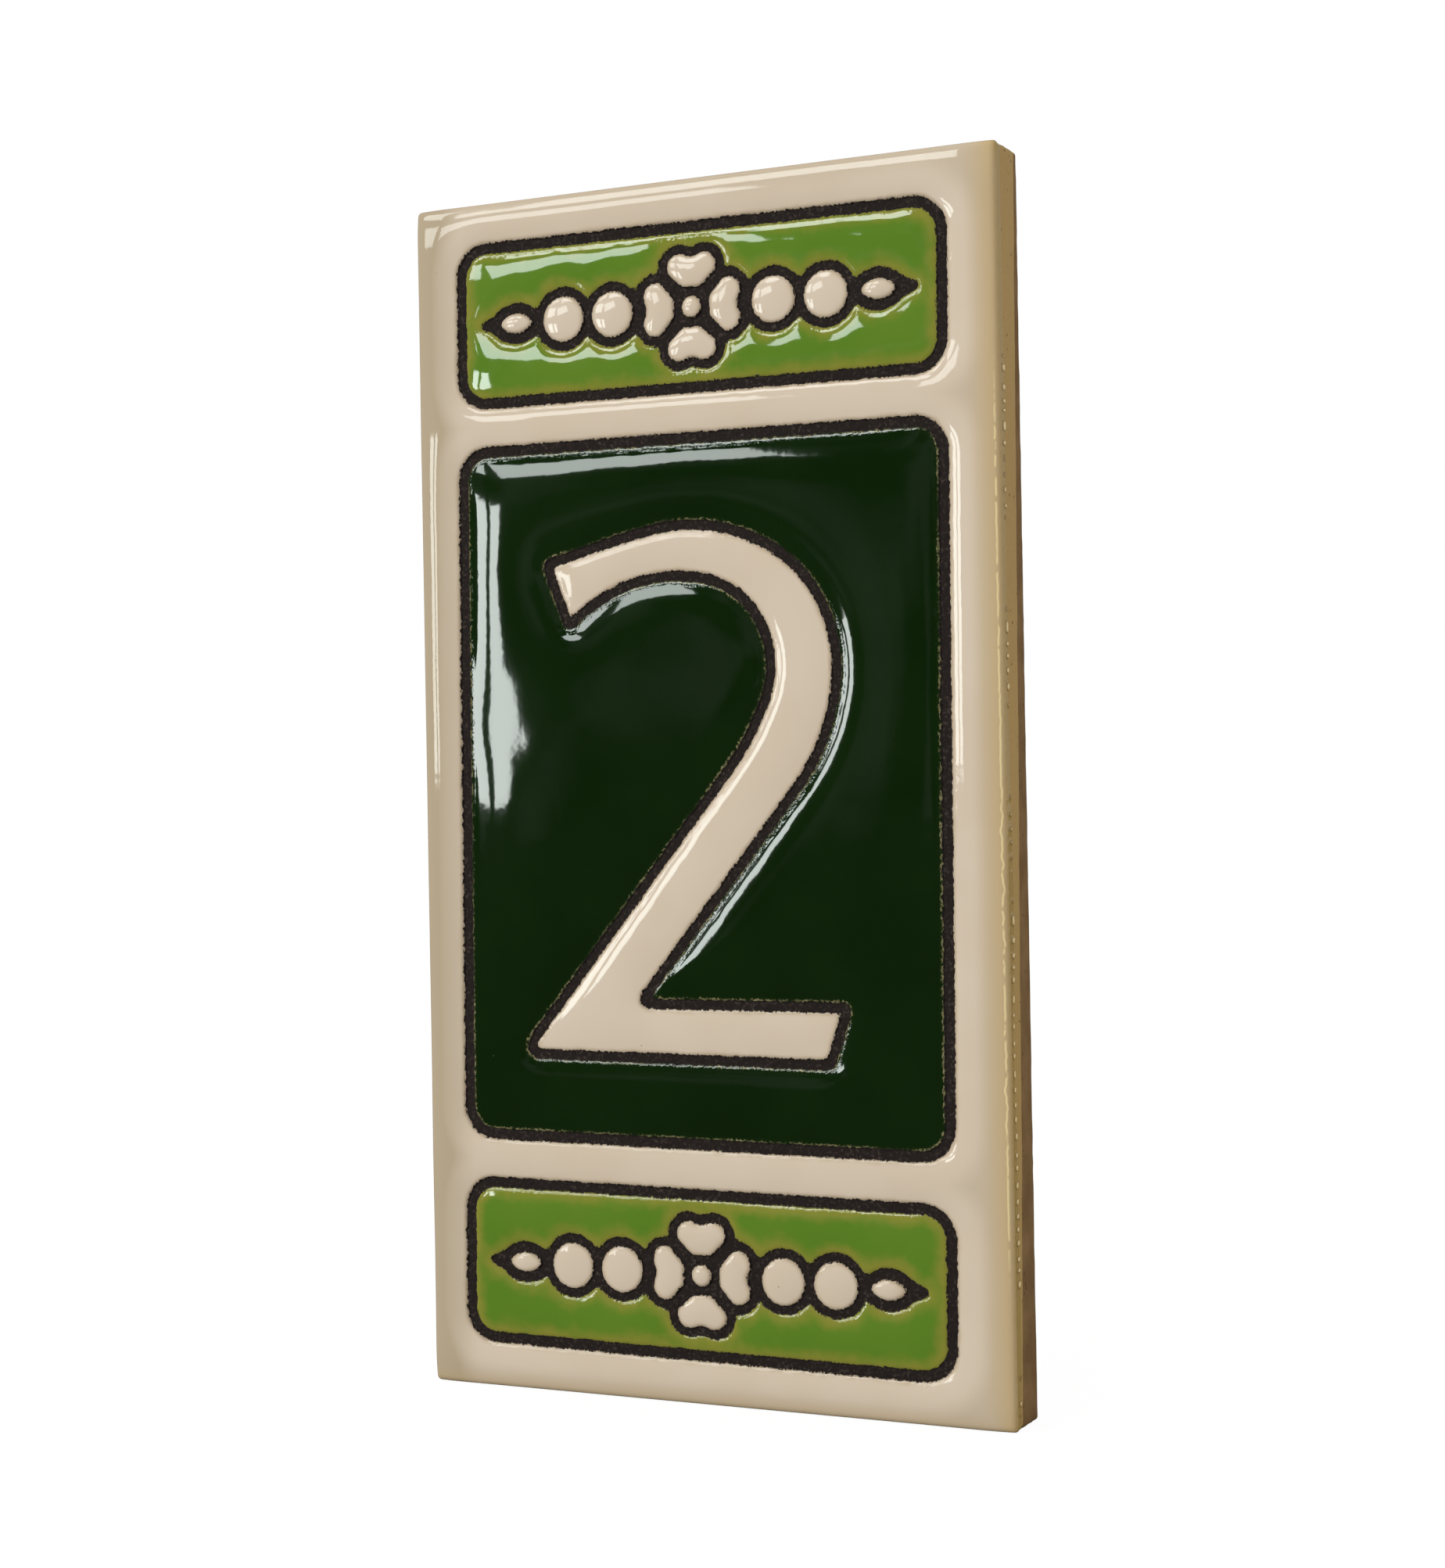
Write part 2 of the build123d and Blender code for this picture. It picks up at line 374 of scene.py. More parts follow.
@dataclass(frozen=True)
class RolledGlazeFinish(GlazeFinish):
    """Glaze that runs over the tile's edge, where it turns thin, olive and golden, with painted shade and
    painted highlights.
    """

    # Darker cream far from the lines, and painted shade towards the left side.
    outer: Colour = (0.47, 0.37, 0.255)
    outer_span: Span = (1.6, 3.9)
    outer_share: float = 0.5
    left_shade_span: Span = (5.0, 1.0)
    left_shade_share: float = 0.85
    # Olive towards the right edge, where the glaze is thinner, with painted shade there and towards the
    # foot.
    olive_edge_shade: Colour = (0.56, 0.402, 0.205)
    olive_edge_shade_span: Span = (3.1, 0.2)
    olive_edge_shade_share: float = 0.8
    olive_foot_shade: float = 1.8
    olive_foot_shade_share: float = 0.4
    rolled: Colour = (0.45, 0.305, 0.105)
    rolled_share: float = 0.12
    rolled_reach: float = 2.6
    # Pale yellow painted highlight, along the right edge and on the crests of the drops.
    pale_highlight: Colour = (0.86, 0.69, 0.36)
    pale_highlight_span: Span = (0.45, 0.75)
    drip: Colour = (0.27, 0.165, 0.055)
    # Dark brown painted shade on the flanks of each drop, around its painted highlight.
    drop_shade_span: Span = (0.1, 0.3)
    drop_shade_share: float = 0.7
    front: float = -6.0
    roll_span: Span = (0.3, 1.0)
    roll_wobble: float = 0.25
    roll_wobble_size: float = 2.5
    side: float = 27.5
    foot: float = -52.5
    line_inset: float = 0.4
    line_width: float = 0.105
    line_core: float = 0.4
    line_share: float = 0.85
    line_top: float = 36.0
    line_foot: float = -34.0
    line_fade: float = 8.0
    line_wander: float = 1.5
    line_swing: Span = (0.12, 0.5)
    swing_size: float = 15.0
    swing_span: Span = (0.42, 0.58)
    break_size: float = 0.9
    break_span: Span = (0.3, 0.46)

    def colour(self, graph: Graph, edge: Signal) -> bpy.types.NodeSocket:
        """Colour of the glaze, with its rolled edge, painted shade and painted highlights.

        Args:
            graph: The material's nodes.
            edge: Distance from the dry line, in millimetres.

        Returns:
            The colour's socket.
        """
        plain = super().colour(graph, edge)
        x, y, z = (axis * (1 / MM) for axis in graph.split(graph.place()))
        # Painted shade: the cream darkens towards the left side; it also darkens far from the lines.
        toward_left_shade = x.ramp(*(reach - self.side for reach in self.left_shade_span))
        outer = edge.ramp(*self.outer_span) * self.outer_share + toward_left_shade * self.left_shade_share
        colour = graph.mix(outer, plain, self.outer)
        # Olive tint of the thinner glaze at the right edge, partly painted shade; darker towards the foot
        # as painted shade.
        olive_edge_shade = x.ramp(*(self.side - reach for reach in self.olive_edge_shade_span)) * self.olive_edge_shade_share
        low = z.ramp(self.foot + self.olive_foot_shade, self.foot) * self.olive_foot_shade_share
        colour = graph.mix(olive_edge_shade.math("MAXIMUM", olive_edge_shade, low), colour, self.olive_edge_shade)
        uneven = graph.wobble(self.roll_wobble_size) * self.roll_wobble
        down = (y - self.front + uneven).ramp(*self.roll_span)
        toward_side = x.ramp(self.side - self.rolled_reach, self.side)
        rolled = down * (self.rolled_share + (1 - self.rolled_share) * toward_side)
        colour = graph.mix(rolled, colour, self.rolled)
        # Painted highlight: a pale wavy line down the right edge.
        colour = graph.mix(self.highlight_line(graph, x, z) * self.line_share, colour, self.pale_highlight)
        # Painted shade: dark brown on each drop's flanks, beneath the painted highlight on its crest.
        drop = graph.attribute("drip")
        colour = graph.mix(drop.ramp(*self.drop_shade_span) * self.drop_shade_share, colour, self.drip)
        # Painted highlight on the crest of each drop.
        return graph.mix(drop.ramp(*self.pale_highlight_span), colour, self.pale_highlight)

    def highlight_line(self, graph: Graph, x: Signal, z: Signal) -> Signal:
        """Broken painted highlight, a pale line that wanders down the right edge.

        Args:
            graph: The material's nodes.
            x: Place across, in millimetres.
            z: Place up, in millimetres.

        Returns:
            1 on the line and 0 beside it.
        """
        upright = (0.0, 0.0, 1.0)
        least, more = self.line_swing
        swing = least + more * graph.noise(self.swing_size, SMOOTH, upright).ramp(*self.swing_span)
        wander = graph.wobble(self.line_wander, SMOOTH, upright) * swing
        off_line = x - wander - (self.side - self.line_inset)
        off_line = off_line.math("ABSOLUTE", off_line)
        line = off_line.ramp(self.line_width, self.line_core * self.line_width)
        line = line * graph.noise(self.break_size, SMOOTH).ramp(*self.break_span)
        line = line * z.ramp(self.line_top, self.line_top - self.line_fade)
        return line * z.ramp(self.line_foot - self.line_fade, self.line_foot)


@dataclass(frozen=True)
class LineFinish:
    """Matte dry line: dark burnt pigment with paler grains."""

    name: str = "dry_line_pigment"
    pigment: Colour = (0.016, 0.0095, 0.0078)
    grain: Colour = (0.095, 0.066, 0.053)
    grain_size: float = 0.28
    grain_octaves: float = 3.0
    grain_span: Span = (0.5, 0.78)
    grain_share: Span = (0.35, 0.4)
    cloud_size: float = 2.4
    cloud_span: Span = (0.35, 0.75)
    roughness: float = 0.82
    gloss: float = 0.25
    bump_size: float = 0.2
    bump_depth: float = 0.03

    def make(self) -> bpy.types.Material:
        """Builds the material.

        Returns:
            The pigment.
        """
        material, graph = start_material(self.name)
        grains = graph.noise(self.grain_size, self.grain_octaves).ramp(*self.grain_span)
        clouds = graph.noise(self.cloud_size).ramp(*self.cloud_span)
        least, more = self.grain_share
        graph.surface({
            "Base Color": graph.mix(grains * (least + more * clouds), self.pigment, self.grain),
            "Roughness": self.roughness,
            "Specular IOR Level": self.gloss,
            "Normal": graph.bump(graph.noise(self.bump_size), self.bump_depth),
        })
        return material


@dataclass(frozen=True)
class ClayFinish:
    """Bare fired clay, stained golden by a thin wash of glaze that ran down from the front."""

    name: str = "fired_clay"
    clay: Colour = (0.2, 0.112, 0.042)
    clay_pale: Colour = (0.27, 0.16, 0.066)
    stain: Colour = (0.52, 0.335, 0.118)
    stain_top: float = 0.84
    stain_bottom: float = 0.36
    stain_edge: float = 0.012
    stain_wobble: float = 0.07
    stain_wobble_size: float = 9.0
    stain_share: Span = (0.75, 0.25)
    stain_polish: float = 0.3
    pit: Colour = (0.05, 0.028, 0.012)
    pit_share: float = 0.5
    pit_spacing: float = 0.9
    pit_size: float = 0.16
    pit_patch: float = 2.5
    pit_patch_span: Span = (0.45, 0.6)
    fine_size: float = 0.5
    cloud_size: float = 3.0
    cloud_span: Span = (0.3, 0.75)
    octaves: float = 4.0
    roughness: float = 0.8
    gloss: float = 0.12
    bump_depth: float = 0.05

    def make(self, box: tuple[Vector, Vector]) -> bpy.types.Material:
        """Builds the material.

        Args:
            box: Lowest and highest corner of the tile, in metres.

        Returns:
            The clay.
        """
        low, high = box
        material, graph = start_material(self.name)
        _, y, z = graph.split(graph.place())
        depth = (y - low.y) * (1 / (high.y - low.y))
        rise = (z - low.z) * (1 / (high.z - low.z))
        border = self.stain_bottom + (self.stain_top - self.stain_bottom) * rise
        border = border + graph.wobble(self.stain_wobble_size) * self.stain_wobble
        stained = (depth - border).ramp(self.stain_edge, -self.stain_edge)
        fine = graph.noise(self.fine_size, self.octaves)
        clouds = graph.noise(self.cloud_size, self.octaves).ramp(*self.cloud_span)
        colour = graph.mix(clouds, self.clay, self.clay_pale)
        least, more = self.stain_share
        colour = graph.mix(stained * (least + more * fine), colour, self.stain)
        patches = graph.noise(self.pit_patch).ramp(*self.pit_patch_span)
        pits = graph.specks(self.pit_spacing, self.pit_size) * patches
        graph.surface({
            "Base Color": graph.mix(pits * self.pit_share, colour, self.pit),
            "Roughness": self.roughness - stained * self.stain_polish,
            "Specular IOR Level": self.gloss,
            "Normal": graph.bump(fine - pits, self.bump_depth),
        })
        return material


CREAM = {
    "pool": (0.665, 0.545, 0.43),
    "thin": (0.57, 0.44, 0.31),
    "cloud": (0.62, 0.496, 0.378),
    "cloud_share": 0.5,
    "thin_reach": 0.6,
    "hairline": (0.42, 0.33, 0.22),
    "gloss": 0.29,
}
CREAM_GLAZE = GlazeFinish(name="cream_glaze", **CREAM)
BORDER_GLAZE = RolledGlazeFinish(name="cream_border_glaze", **CREAM)
DARK_GREEN_GLAZE = GlazeFinish(
    name="dark_green_glaze",
    pool=(0.0043, 0.0145, 0.0022),
    thin=(0.006, 0.018, 0.003),
    cloud=(0.0062, 0.0185, 0.0034),
    cloud_share=0.7,
    thin_reach=0.7,
    hairline=(0.38, 0.33, 0.16),
    hairline_share=0.75,
    bleed=0.1,
    ripple=0.003,
    speck=(0.16, 0.17, 0.13),
)
LIGHT_GREEN_GLAZE = GlazeFinish(
    name="light_green_glaze",
    pool=(0.103, 0.208, 0.019),
    thin=(0.245, 0.24, 0.036),
    cloud=(0.125, 0.225, 0.022),
    cloud_share=0.7,
    thin_reach=1.5,
    hairline=(0.3, 0.24, 0.07),
    hairline_share=0.5,
    bleed=0.08,
    ripple=0.003,
)


class Ripple:
    """Seeded smooth noise over the front."""

    CELLS = 256

    def __init__(self, seed: int, wavelength: float) -> None:
        """Draws the noise's values.

        Args:
            seed: Start of the random numbers.
            wavelength: Distance between its values, in millimetres.
        """
        self.values = np.random.default_rng(seed).uniform(-1, 1, (self.CELLS, self.CELLS))
        self.wavelength = wavelength

    def __call__(self, x: Array, z: Array) -> Array:
        """Reads the noise.

        Args:
            x: Places across.
            z: Places up.

        Returns:
            Values from -1 to 1.
        """
        u = x / self.wavelength + self.CELLS
        v = z / self.wavelength + self.CELLS
        i = np.floor(u).astype(int)
        j = np.floor(v).astype(int)
        f = self.fade(u - i)
        g = self.fade(v - j)
        i0, i1 = i % self.CELLS, (i + 1) % self.CELLS
        j0, j1 = j % self.CELLS, (j + 1) % self.CELLS
        low = self.values[i0, j0] * (1 - f) + self.values[i1, j0] * f
        high = self.values[i0, j1] * (1 - f) + self.values[i1, j1] * f
        return low * (1 - g) + high * g

    @staticmethod
    def fade(t: Array) -> Array:
        """Step from 0 to 1 that is smooth in its slope and curvature."""
        return t * t * t * (t * (6 * t - 15) + 10)


def circle(u: Array, w: Array, centre: Point, radius: float) -> Array:
    """Signed distance to a circle, negative inside."""
    return np.hypot(u - centre[0], w - centre[1]) - radius


def rounded_box(u: Array, w: Array, width: float, height: float, radius: float) -> Array:
    """Signed distance to an upright rectangle with round corners.

    Args:
        u: Places across, from its centre.
        w: Places up, from its centre.
        width: Its width.
        height: Its height.
        radius: Its corner radius.

    Returns:
        Distances, negative inside.
    """
    p = np.abs(u) - (width / 2 - radius)
    q = np.abs(w) - (height / 2 - radius)
    outside = np.hypot(np.maximum(p, 0), np.maximum(q, 0))
    return outside + np.minimum(np.maximum(p, q), 0) - radius


def polygon(u: Array, w: Array, corners: Array, reach: float = 5.0) -> Array:
    """Signed distance to a closed polygon.

    Args:
        u: Places across.
        w: Places up.
        corners: Its corners in order.
        reach: Distance beyond which the exact value doesn't matter.

    Returns:
        Distances, negative inside.
    """
    low, high = corners.min(0) - reach, corners.max(0) + reach
    near = (u > low[0]) & (u < high[0]) & (w > low[1]) & (w < high[1])
    x, y = u[near], w[near]
    nearest = np.full(x.shape, reach**2)
    inside = np.zeros(x.shape, bool)
    for a, b in zip(corners, np.roll(corners, -1, axis=0)):
        along = b - a
        t = np.clip(((x - a[0]) * along[0] + (y - a[1]) * along[1]) / (along @ along), 0, 1)
        nearest = np.minimum(nearest, (x - a[0] - t * along[0]) ** 2 + (y - a[1] - t * along[1]) ** 2)
        if a[1] != b[1]:
            crossing = a[0] + (y - a[1]) * along[0] / along[1]
            inside ^= ((a[1] > y) != (b[1] > y)) & (x < crossing)
    result = np.full(u.shape, reach)
    result[near] = np.where(inside, -1, 1) * np.sqrt(nearest)
    return result


def blend_union(first: Array, second: Array, radius: float) -> Array:
    """Union of two outlines with a fillet where they meet."""
    overlap = np.maximum(radius - np.abs(first - second), 0) / radius
    return np.minimum(first, second) - overlap**2 * radius / 4


def tangent_arc(start: Array, direction: Array, end: Array, count: int) -> tuple[Array, Array]:
    """Arc that leaves a point in a direction and ends at another point.

    Args:
        start: Where it starts.
        direction: Unit direction in which it starts.
        end: Where it ends.
        count: Number of points.

    Returns:
        Its points without the start, and its direction at the end.
    """
    side = np.array([-direction[1], direction[0]])
    chord = end - start
    turn = 2 * math.atan2(chord @ side, chord @ direction)
    radius = (chord @ chord) / (2 * (chord @ side))
    angles = np.linspace(0, turn, count + 1)[1:, None]
    points = start + radius * (np.sin(angles) * direction + (1 - np.cos(angles)) * side)
    return points, math.cos(turn) * direction + math.sin(turn) * side


@dataclass(frozen=True)
class Drawing:
    """The line drawing on the front: three framed panels, the numeral and two ornaments."""

    width: float = 55.0
    height: float = 105.0
    corner_radius: float = 0.4
    side_margin: float = 4.35
    end_margin: float = 3.85
    band_height: float = 14.5
    panel_gap: float = 3.55
    panel_radius: float = 2.9
    line: float = 0.75
    numeral_line: float = 0.68
    tilt: float = math.radians(0.42)
    shift: float = -0.4

    crotch: tuple[Point, ...] = ((-5.47, -17.51), (-5.56, -18.25), (-4.93, -18.65))
    diagonal_head_outside: Point = (9.02, 0.32)
    bowl_outside: tuple[Point, ...] = ((12.68, 9.09), (7.29, 20.13), (-4.01, 22.18))
    terminal_head: Point = (-13.98, 19.72)
    terminal_foot: Point = (-12.1, 15.05)
    bowl_inside: tuple[Point, ...] = ((6.84, 7.58), (1.02, 18.49))
    diagonal_head_inside: Point = (3.34, 1.64)
    heel: tuple[Point, ...] = ((-15.98, -21.99), (-16.07, -22.44), (-15.67, -22.65))
    bar_end_foot: Point = (11.95, -22.65)
    bar_end_head: Point = (13.35, -18.5)

    ornament_line: float = 0.62
    ornament_fillet: float = 0.5
    rosette_clearance: float = 1.2
    centre_bead_radius: float = 1.03
    centre_line: float = 0.58
    lobe_share: float = 0.26
    lobe_sweep: Span = (-28.0, 90.0)
    petal_gap: float = 0.77
    petal_inner_half_width: float = 0.85
    notch_radius: float = 1.2
    notch_depth: float = 0.28
    beads_a_side: int = 2
    bead_radius: float = 2.09
    bead_gap: float = 0.64
    bead_clearance: float = 0.88
    leaf_line: float = 0.74
    leaf_point: float = 0.2
    leaf_cell_length: float = 3.5
    leaf_cell_height: float = 1.95
    tip_clearance: float = 1.75

    ARC_STEPS = 16
    LOBE_STEPS = 14
    CELL_REACH = 2.0

    @property
    def panel_width(self) -> float:
        """Width over the panels' lines."""
        return self.width - 2 * self.side_margin

    @property
    def number_height(self) -> float:
        """Height over the number panel's lines."""
        return self.height - 2 * (self.end_margin + self.band_height + self.panel_gap)

    @property
    def band_place(self) -> float:
        """Height of a band's middle above the tile's middle."""
        return (self.number_height + self.band_height) / 2 + self.panel_gap

    @property
    def petal_reach(self) -> float:
        """Distance from a rosette's middle to a petal's tip."""
        return self.band_height / 2 - self.line - self.rosette_clearance - self.ornament_line

    @property
    def lobe_radius(self) -> float:
        """Radius of a petal's two lobes."""
        return self.lobe_share * self.petal_reach

    @property
    def lobe_place(self) -> Point:
        """Place of the right lobe of the petal that points up."""
        reach = self.petal_reach - self.lobe_radius
        return (reach - math.sqrt(2) * (self.lobe_radius + self.petal_gap / 2), reach)

    @property
    def bead_places(self) -> list[Point]:
        """Places of the beads beside a rosette."""
        pitch = 2 * self.bead_radius + self.bead_gap
        first = self.petal_reach + self.bead_clearance + self.bead_radius
        return [(side * (first + i * pitch), 0.0) for i in range(self.beads_a_side) for side in (-1, 1)]

    @property
    def leaf_start(self) -> float:
        """Distance from a rosette's middle to the root of a leaf's cell."""
        return max(self.bead_places)[0] + self.bead_radius + self.bead_clearance

    @property
    def leaf_length(self) -> float:
        """Length from the root of a leaf's cell to the leaf's tip."""
        return self.panel_width / 2 - self.line - self.tip_clearance - self.leaf_start

    def on_paper(self, x: Array, z: Array) -> tuple[Array, Array]:
        """Takes places on the tile to places on the drawing, which sits a little askew.

        Args:
            x: Places across the tile.
            z: Places up the tile.

        Returns:
            Places across and up the drawing.
        """
        c, s = math.cos(self.tilt), math.sin(self.tilt)
        return (x - self.shift) * c - z * s, (x - self.shift) * s + z * c

    def tile_outline(self, x: Array, z: Array, inset: float) -> Array:
        """Signed distance to the tile's own edge, drawn in by an inset."""
        width, height = self.width - 2 * inset, self.height - 2 * inset
        return rounded_box(x, z, width, height, self.corner_radius)

    def panels(self, u: Array, w: Array, inset: float) -> dict[str, Array]:
        """Signed distances to the three panels.

        Args:
            u: Places across the drawing.
            w: Places up the drawing.
            inset: How far inside the outer edge of their lines they are measured.

        Returns:
            Distances by panel.
        """
        width, radius = self.panel_width - 2 * inset, self.panel_radius - inset
        band = self.band_height - 2 * inset
        return {
            "number": rounded_box(u, w, width, self.number_height - 2 * inset, radius),
            "top": rounded_box(u, w - self.band_place, width, band, radius),
            "bottom": rounded_box(u, w + self.band_place, width, band, radius),
        }

    def numeral(self, u: Array, w: Array) -> Array:
        """Signed distance to the numeral.

        Args:
            u: Places across the drawing.
            w: Places up the drawing.

        Returns:
            Distances, negative inside its glaze.
        """
        outer_arcs = (*self.bowl_outside, self.terminal_head)
        inner_arcs = (*self.bowl_inside, self.terminal_foot)
        outside = self.stroke(self.crotch[0], self.diagonal_head_outside, outer_arcs)
        inside = self.stroke(self.heel[0], self.diagonal_head_inside, inner_arcs)
        bar = np.array([*self.heel[1:], self.bar_end_foot, self.bar_end_head, *self.crotch[:0:-1]])
        return polygon(u, w, np.vstack([outside, inside[::-1], bar]))

    def stroke(self, foot: Point, head: Point, joints: tuple[Point, ...]) -> Array:
        """One side of the numeral: a straight diagonal that runs on into a chain of arcs.

        Args:
            foot: Where the diagonal starts.
            head: Where it goes over into the first arc.
            joints: Where the arcs end.

        Returns:
            Points from the diagonal's foot to the last joint.
        """
        points = [np.array([foot, head])]
        direction = points[0][1] - points[0][0]
        direction = direction / np.hypot(*direction)
        for joint in joints:
            arc, direction = tangent_arc(points[-1][-1], direction, np.array(joint), self.ARC_STEPS)
            points.append(arc)
        return np.vstack(points)

    def petal(self, u: Array, w: Array) -> Array:
        """Signed distance to the petal that points up.

        Args:
            u: Places across, from the rosette's middle.
            w: Places up, from the rosette's middle.

        Returns:
            Distances, negative inside.
        """
        x, y = self.lobe_place
        angles = np.radians(np.linspace(*self.lobe_sweep, self.LOBE_STEPS))
        right = np.stack([x + self.lobe_radius * np.cos(angles), y + self.lobe_radius * np.sin(angles)], 1)
        foot = np.array([[self.petal_inner_half_width, self.centre_bead_radius + self.centre_line]])
        half = np.vstack([foot, right])
        body = polygon(u, w, np.vstack([half, half[::-1] * (-1, 1)]), self.CELL_REACH)
        notch_place = (0.0, self.petal_reach - self.notch_depth + self.notch_radius)
        notch = circle(u, w, notch_place, self.notch_radius)
        return np.maximum(body, -notch)

    def leaf_cell(self, u: Array, w: Array) -> Array:
        """Signed distance to a leaf's glazed cell, a lens that points right.

        Args:
            u: Places along it, from its left tip.
            w: Places across it.

        Returns:
            Distances, negative inside.
        """
        length, height = self.leaf_cell_length, self.leaf_cell_height
        radius = (length**2 + height**2) / (4 * height)
        drop = radius - height / 2
        upper = circle(u, w, (length / 2, -drop), radius)
        lower = circle(u, w, (length / 2, drop), radius)
        return np.maximum(upper, lower)

    def cells(self, u: Array, w: Array) -> dict[str, Array]:
        """Signed distances to the glazed cells of an ornament.

        Args:
            u: Places across, from its middle.
            w: Places up, from its middle.

        Returns:
            Distances by cell.
        """
        found = {"centre_bead": circle(u, w, (0.0, 0.0), self.centre_bead_radius)}
        for quarter, (a, b) in enumerate(((u, w), (w, -u), (-u, -w), (-w, u))):
            found[f"petal_{quarter + 1}"] = self.petal(a, b)
        for place, centre in enumerate(sorted(self.bead_places)):
            found[f"bead_{place + 1}"] = circle(u, w, centre, self.bead_radius)
        for name, side in (("left_leaf", -1), ("right_leaf", 1)):
            found[name] = self.leaf_cell(side * u - self.leaf_start, w)
        return found

    def ornament(self, u: Array, w: Array) -> Array:
        """Signed distance to the outer edge of an ornament's lines.

        Args:
            u: Places across, from its middle.
            w: Places up, from its middle.

        Returns:
            Distances, negative inside.
        """
        x, y = self.lobe_place
        joined = circle(u, w, (0.0, 0.0), y)
        lobes = [(a, b) for p, q in ((x, y), (y, x)) for a in (-p, p) for b in (-q, q)]
        for centre in lobes:
            ring = circle(u, w, centre, self.lobe_radius + self.ornament_line)
            joined = blend_union(joined, ring, self.ornament_fillet)
        for centre in self.bead_places:
            ring = circle(u, w, centre, self.bead_radius + self.ornament_line)
            joined = blend_union(joined, ring, self.ornament_fillet)
        half = self.leaf_cell_height / 2 + self.leaf_line
        middle = self.leaf_cell_length / 2
        tip, point = self.leaf_length, self.leaf_point
        taper = np.array([(middle, half), (middle, -half), (tip, -point), (tip, point)])
        for side in (-1, 1):
            along = side * u - self.leaf_start
            leaf = self.leaf_cell(along, w) - self.leaf_line
            leaf = np.minimum(leaf, polygon(along, w, taper, self.CELL_REACH))
            joined = blend_union(joined, leaf, self.ornament_fillet)
        return joined


class Plate:
    """Square grid of places over the tile's front, for distances and outlines."""

    BLUR_SPAN = 2.5

    def __init__(self, drawing: Drawing, step: float = 0.1, margin: float = 0.5) -> None:
        """Lays out the grid.

        Args:
            drawing: The drawing that it covers.
            step: Distance between its places.
            margin: How far it reaches past the tile.
        """
        self.step = step
        across = np.arange(-drawing.width / 2 - margin, drawing.width / 2 + margin + step, step)
        up = np.arange(-drawing.height / 2 - margin, drawing.height / 2 + margin + step, step)
        self.low = np.array([across[0], up[0]])
        self.x, self.z = np.meshgrid(across, up)

    def read(self, values: Array, points: Array) -> Array:
        """Reads a grid of values between its places.

        Args:
            values: One value at each place.
            points: Where to read, one row each.

        Returns:
            The values there.
        """
        rows, columns = values.shape
        place = (points - self.low) / self.step
        i = np.clip(np.floor(place[:, 0]).astype(int), 0, columns - 2)
        j = np.clip(np.floor(place[:, 1]).astype(int), 0, rows - 2)
        f, g = place[:, 0] - i, place[:, 1] - j
        low = values[j, i] * (1 - f) + values[j, i + 1] * f
        high = values[j + 1, i] * (1 - f) + values[j + 1, i + 1] * f
        return low * (1 - g) + high * g

    def soften(self, values: Array, radius: float) -> Array:
        """Blurs a grid of values, which rounds the corners of its outlines.

        Args:
            values: One value at each place.
            radius: Reach of the blur.

        Returns:
            The blurred values.
        """
        half = int(math.ceil(self.BLUR_SPAN * radius / self.step))
        offsets = np.arange(-half, half + 1)
        weights = np.exp(-0.5 * (offsets * self.step / radius) ** 2)
        weights /= weights.sum()
        for axis in (0, 1):
            padded = np.pad(values, [(half, half) if a == axis else (0, 0) for a in (0, 1)], "edge")
            size = values.shape[axis]
            values = sum(f * np.take(padded, range(k, k + size), axis) for k, f in enumerate(weights))
        return values

    def loops(self, values: Array, level: float) -> list[Array]:
        """Traces the closed lines along which the values are at a level.

        Args:
            values: One value at each place.
            level: The level.

        Returns:
            The points of each line.
        """
        rows, columns = values.shape
        below = values < level
        size = rows * columns
        codes = below[:-1, :-1] + 2 * below[:-1, 1:] + 4 * below[1:, 1:] + 8 * below[1:, :-1]
        bottom, right, top, left = range(4)
        joins = {
            1: ((left, bottom),), 2: ((bottom, right),), 3: ((left, right),), 4: ((right, top),),
            5: ((left, bottom), (right, top)), 6: ((bottom, top),), 7: ((left, top),), 8: ((top, left),),
            9: ((bottom, top),), 10: ((bottom, right), (top, left)), 11: ((right, top),),
            12: ((left, right),), 13: ((bottom, right),), 14: ((left, bottom),),
        }
        pairs = []
        for code, sides in joins.items():
            j, i = np.nonzero(codes == code)
            cell = j * columns + i
            edges = (cell, size + cell + 1, cell + columns, size + cell)
            pairs += [np.stack([edges[a], edges[b]], 1) for a, b in sides]
        pairs = np.vstack(pairs)
        if not len(pairs):
            return []
        names, index = np.unique(pairs.ravel(), return_inverse=True)
        index = index.reshape(-1, 2)
        points = self.crossings(values, level, names)
        neighbours = [[] for _ in names]
        for a, b in index.tolist():
            neighbours[a].append(b)
            neighbours[b].append(a)
        unused = np.ones(len(names), bool)
        found = []
        for start in range(len(names)):
            if not unused[start]:
                continue
            chain, here = [start], start
            unused[start] = False
            while True:
                onward = [n for n in neighbours[here] if unused[n]]
                if not onward:
                    break
                here = onward[0]
                unused[here] = False
                chain.append(here)
            found.append(points[chain])
        return found

    def crossings(self, values: Array, level: float, edges: Array) -> Array:
        """Finds where grid edges cross a level.

        Args:
            values: One value at each place.
            level: The level.
            edges: Edge numbers: first those along the rows, then those along the columns.

        Returns:
            One point for each edge.
        """
        size = values.size
        columns = values.shape[1]
        upright = edges >= size
        first = np.where(upright, edges - size, edges)
        second = first + np.where(upright, columns, 1)
        flat = values.ravel()
        share = (level - flat[first]) / (flat[second] - flat[first])
        j, i = np.divmod(first, columns)
        across = i + np.where(upright, 0, share)
        up = j + np.where(upright, share, 0)
        return self.low + self.step * np.stack([across, up], 1)


FEWEST_POINTS = 8


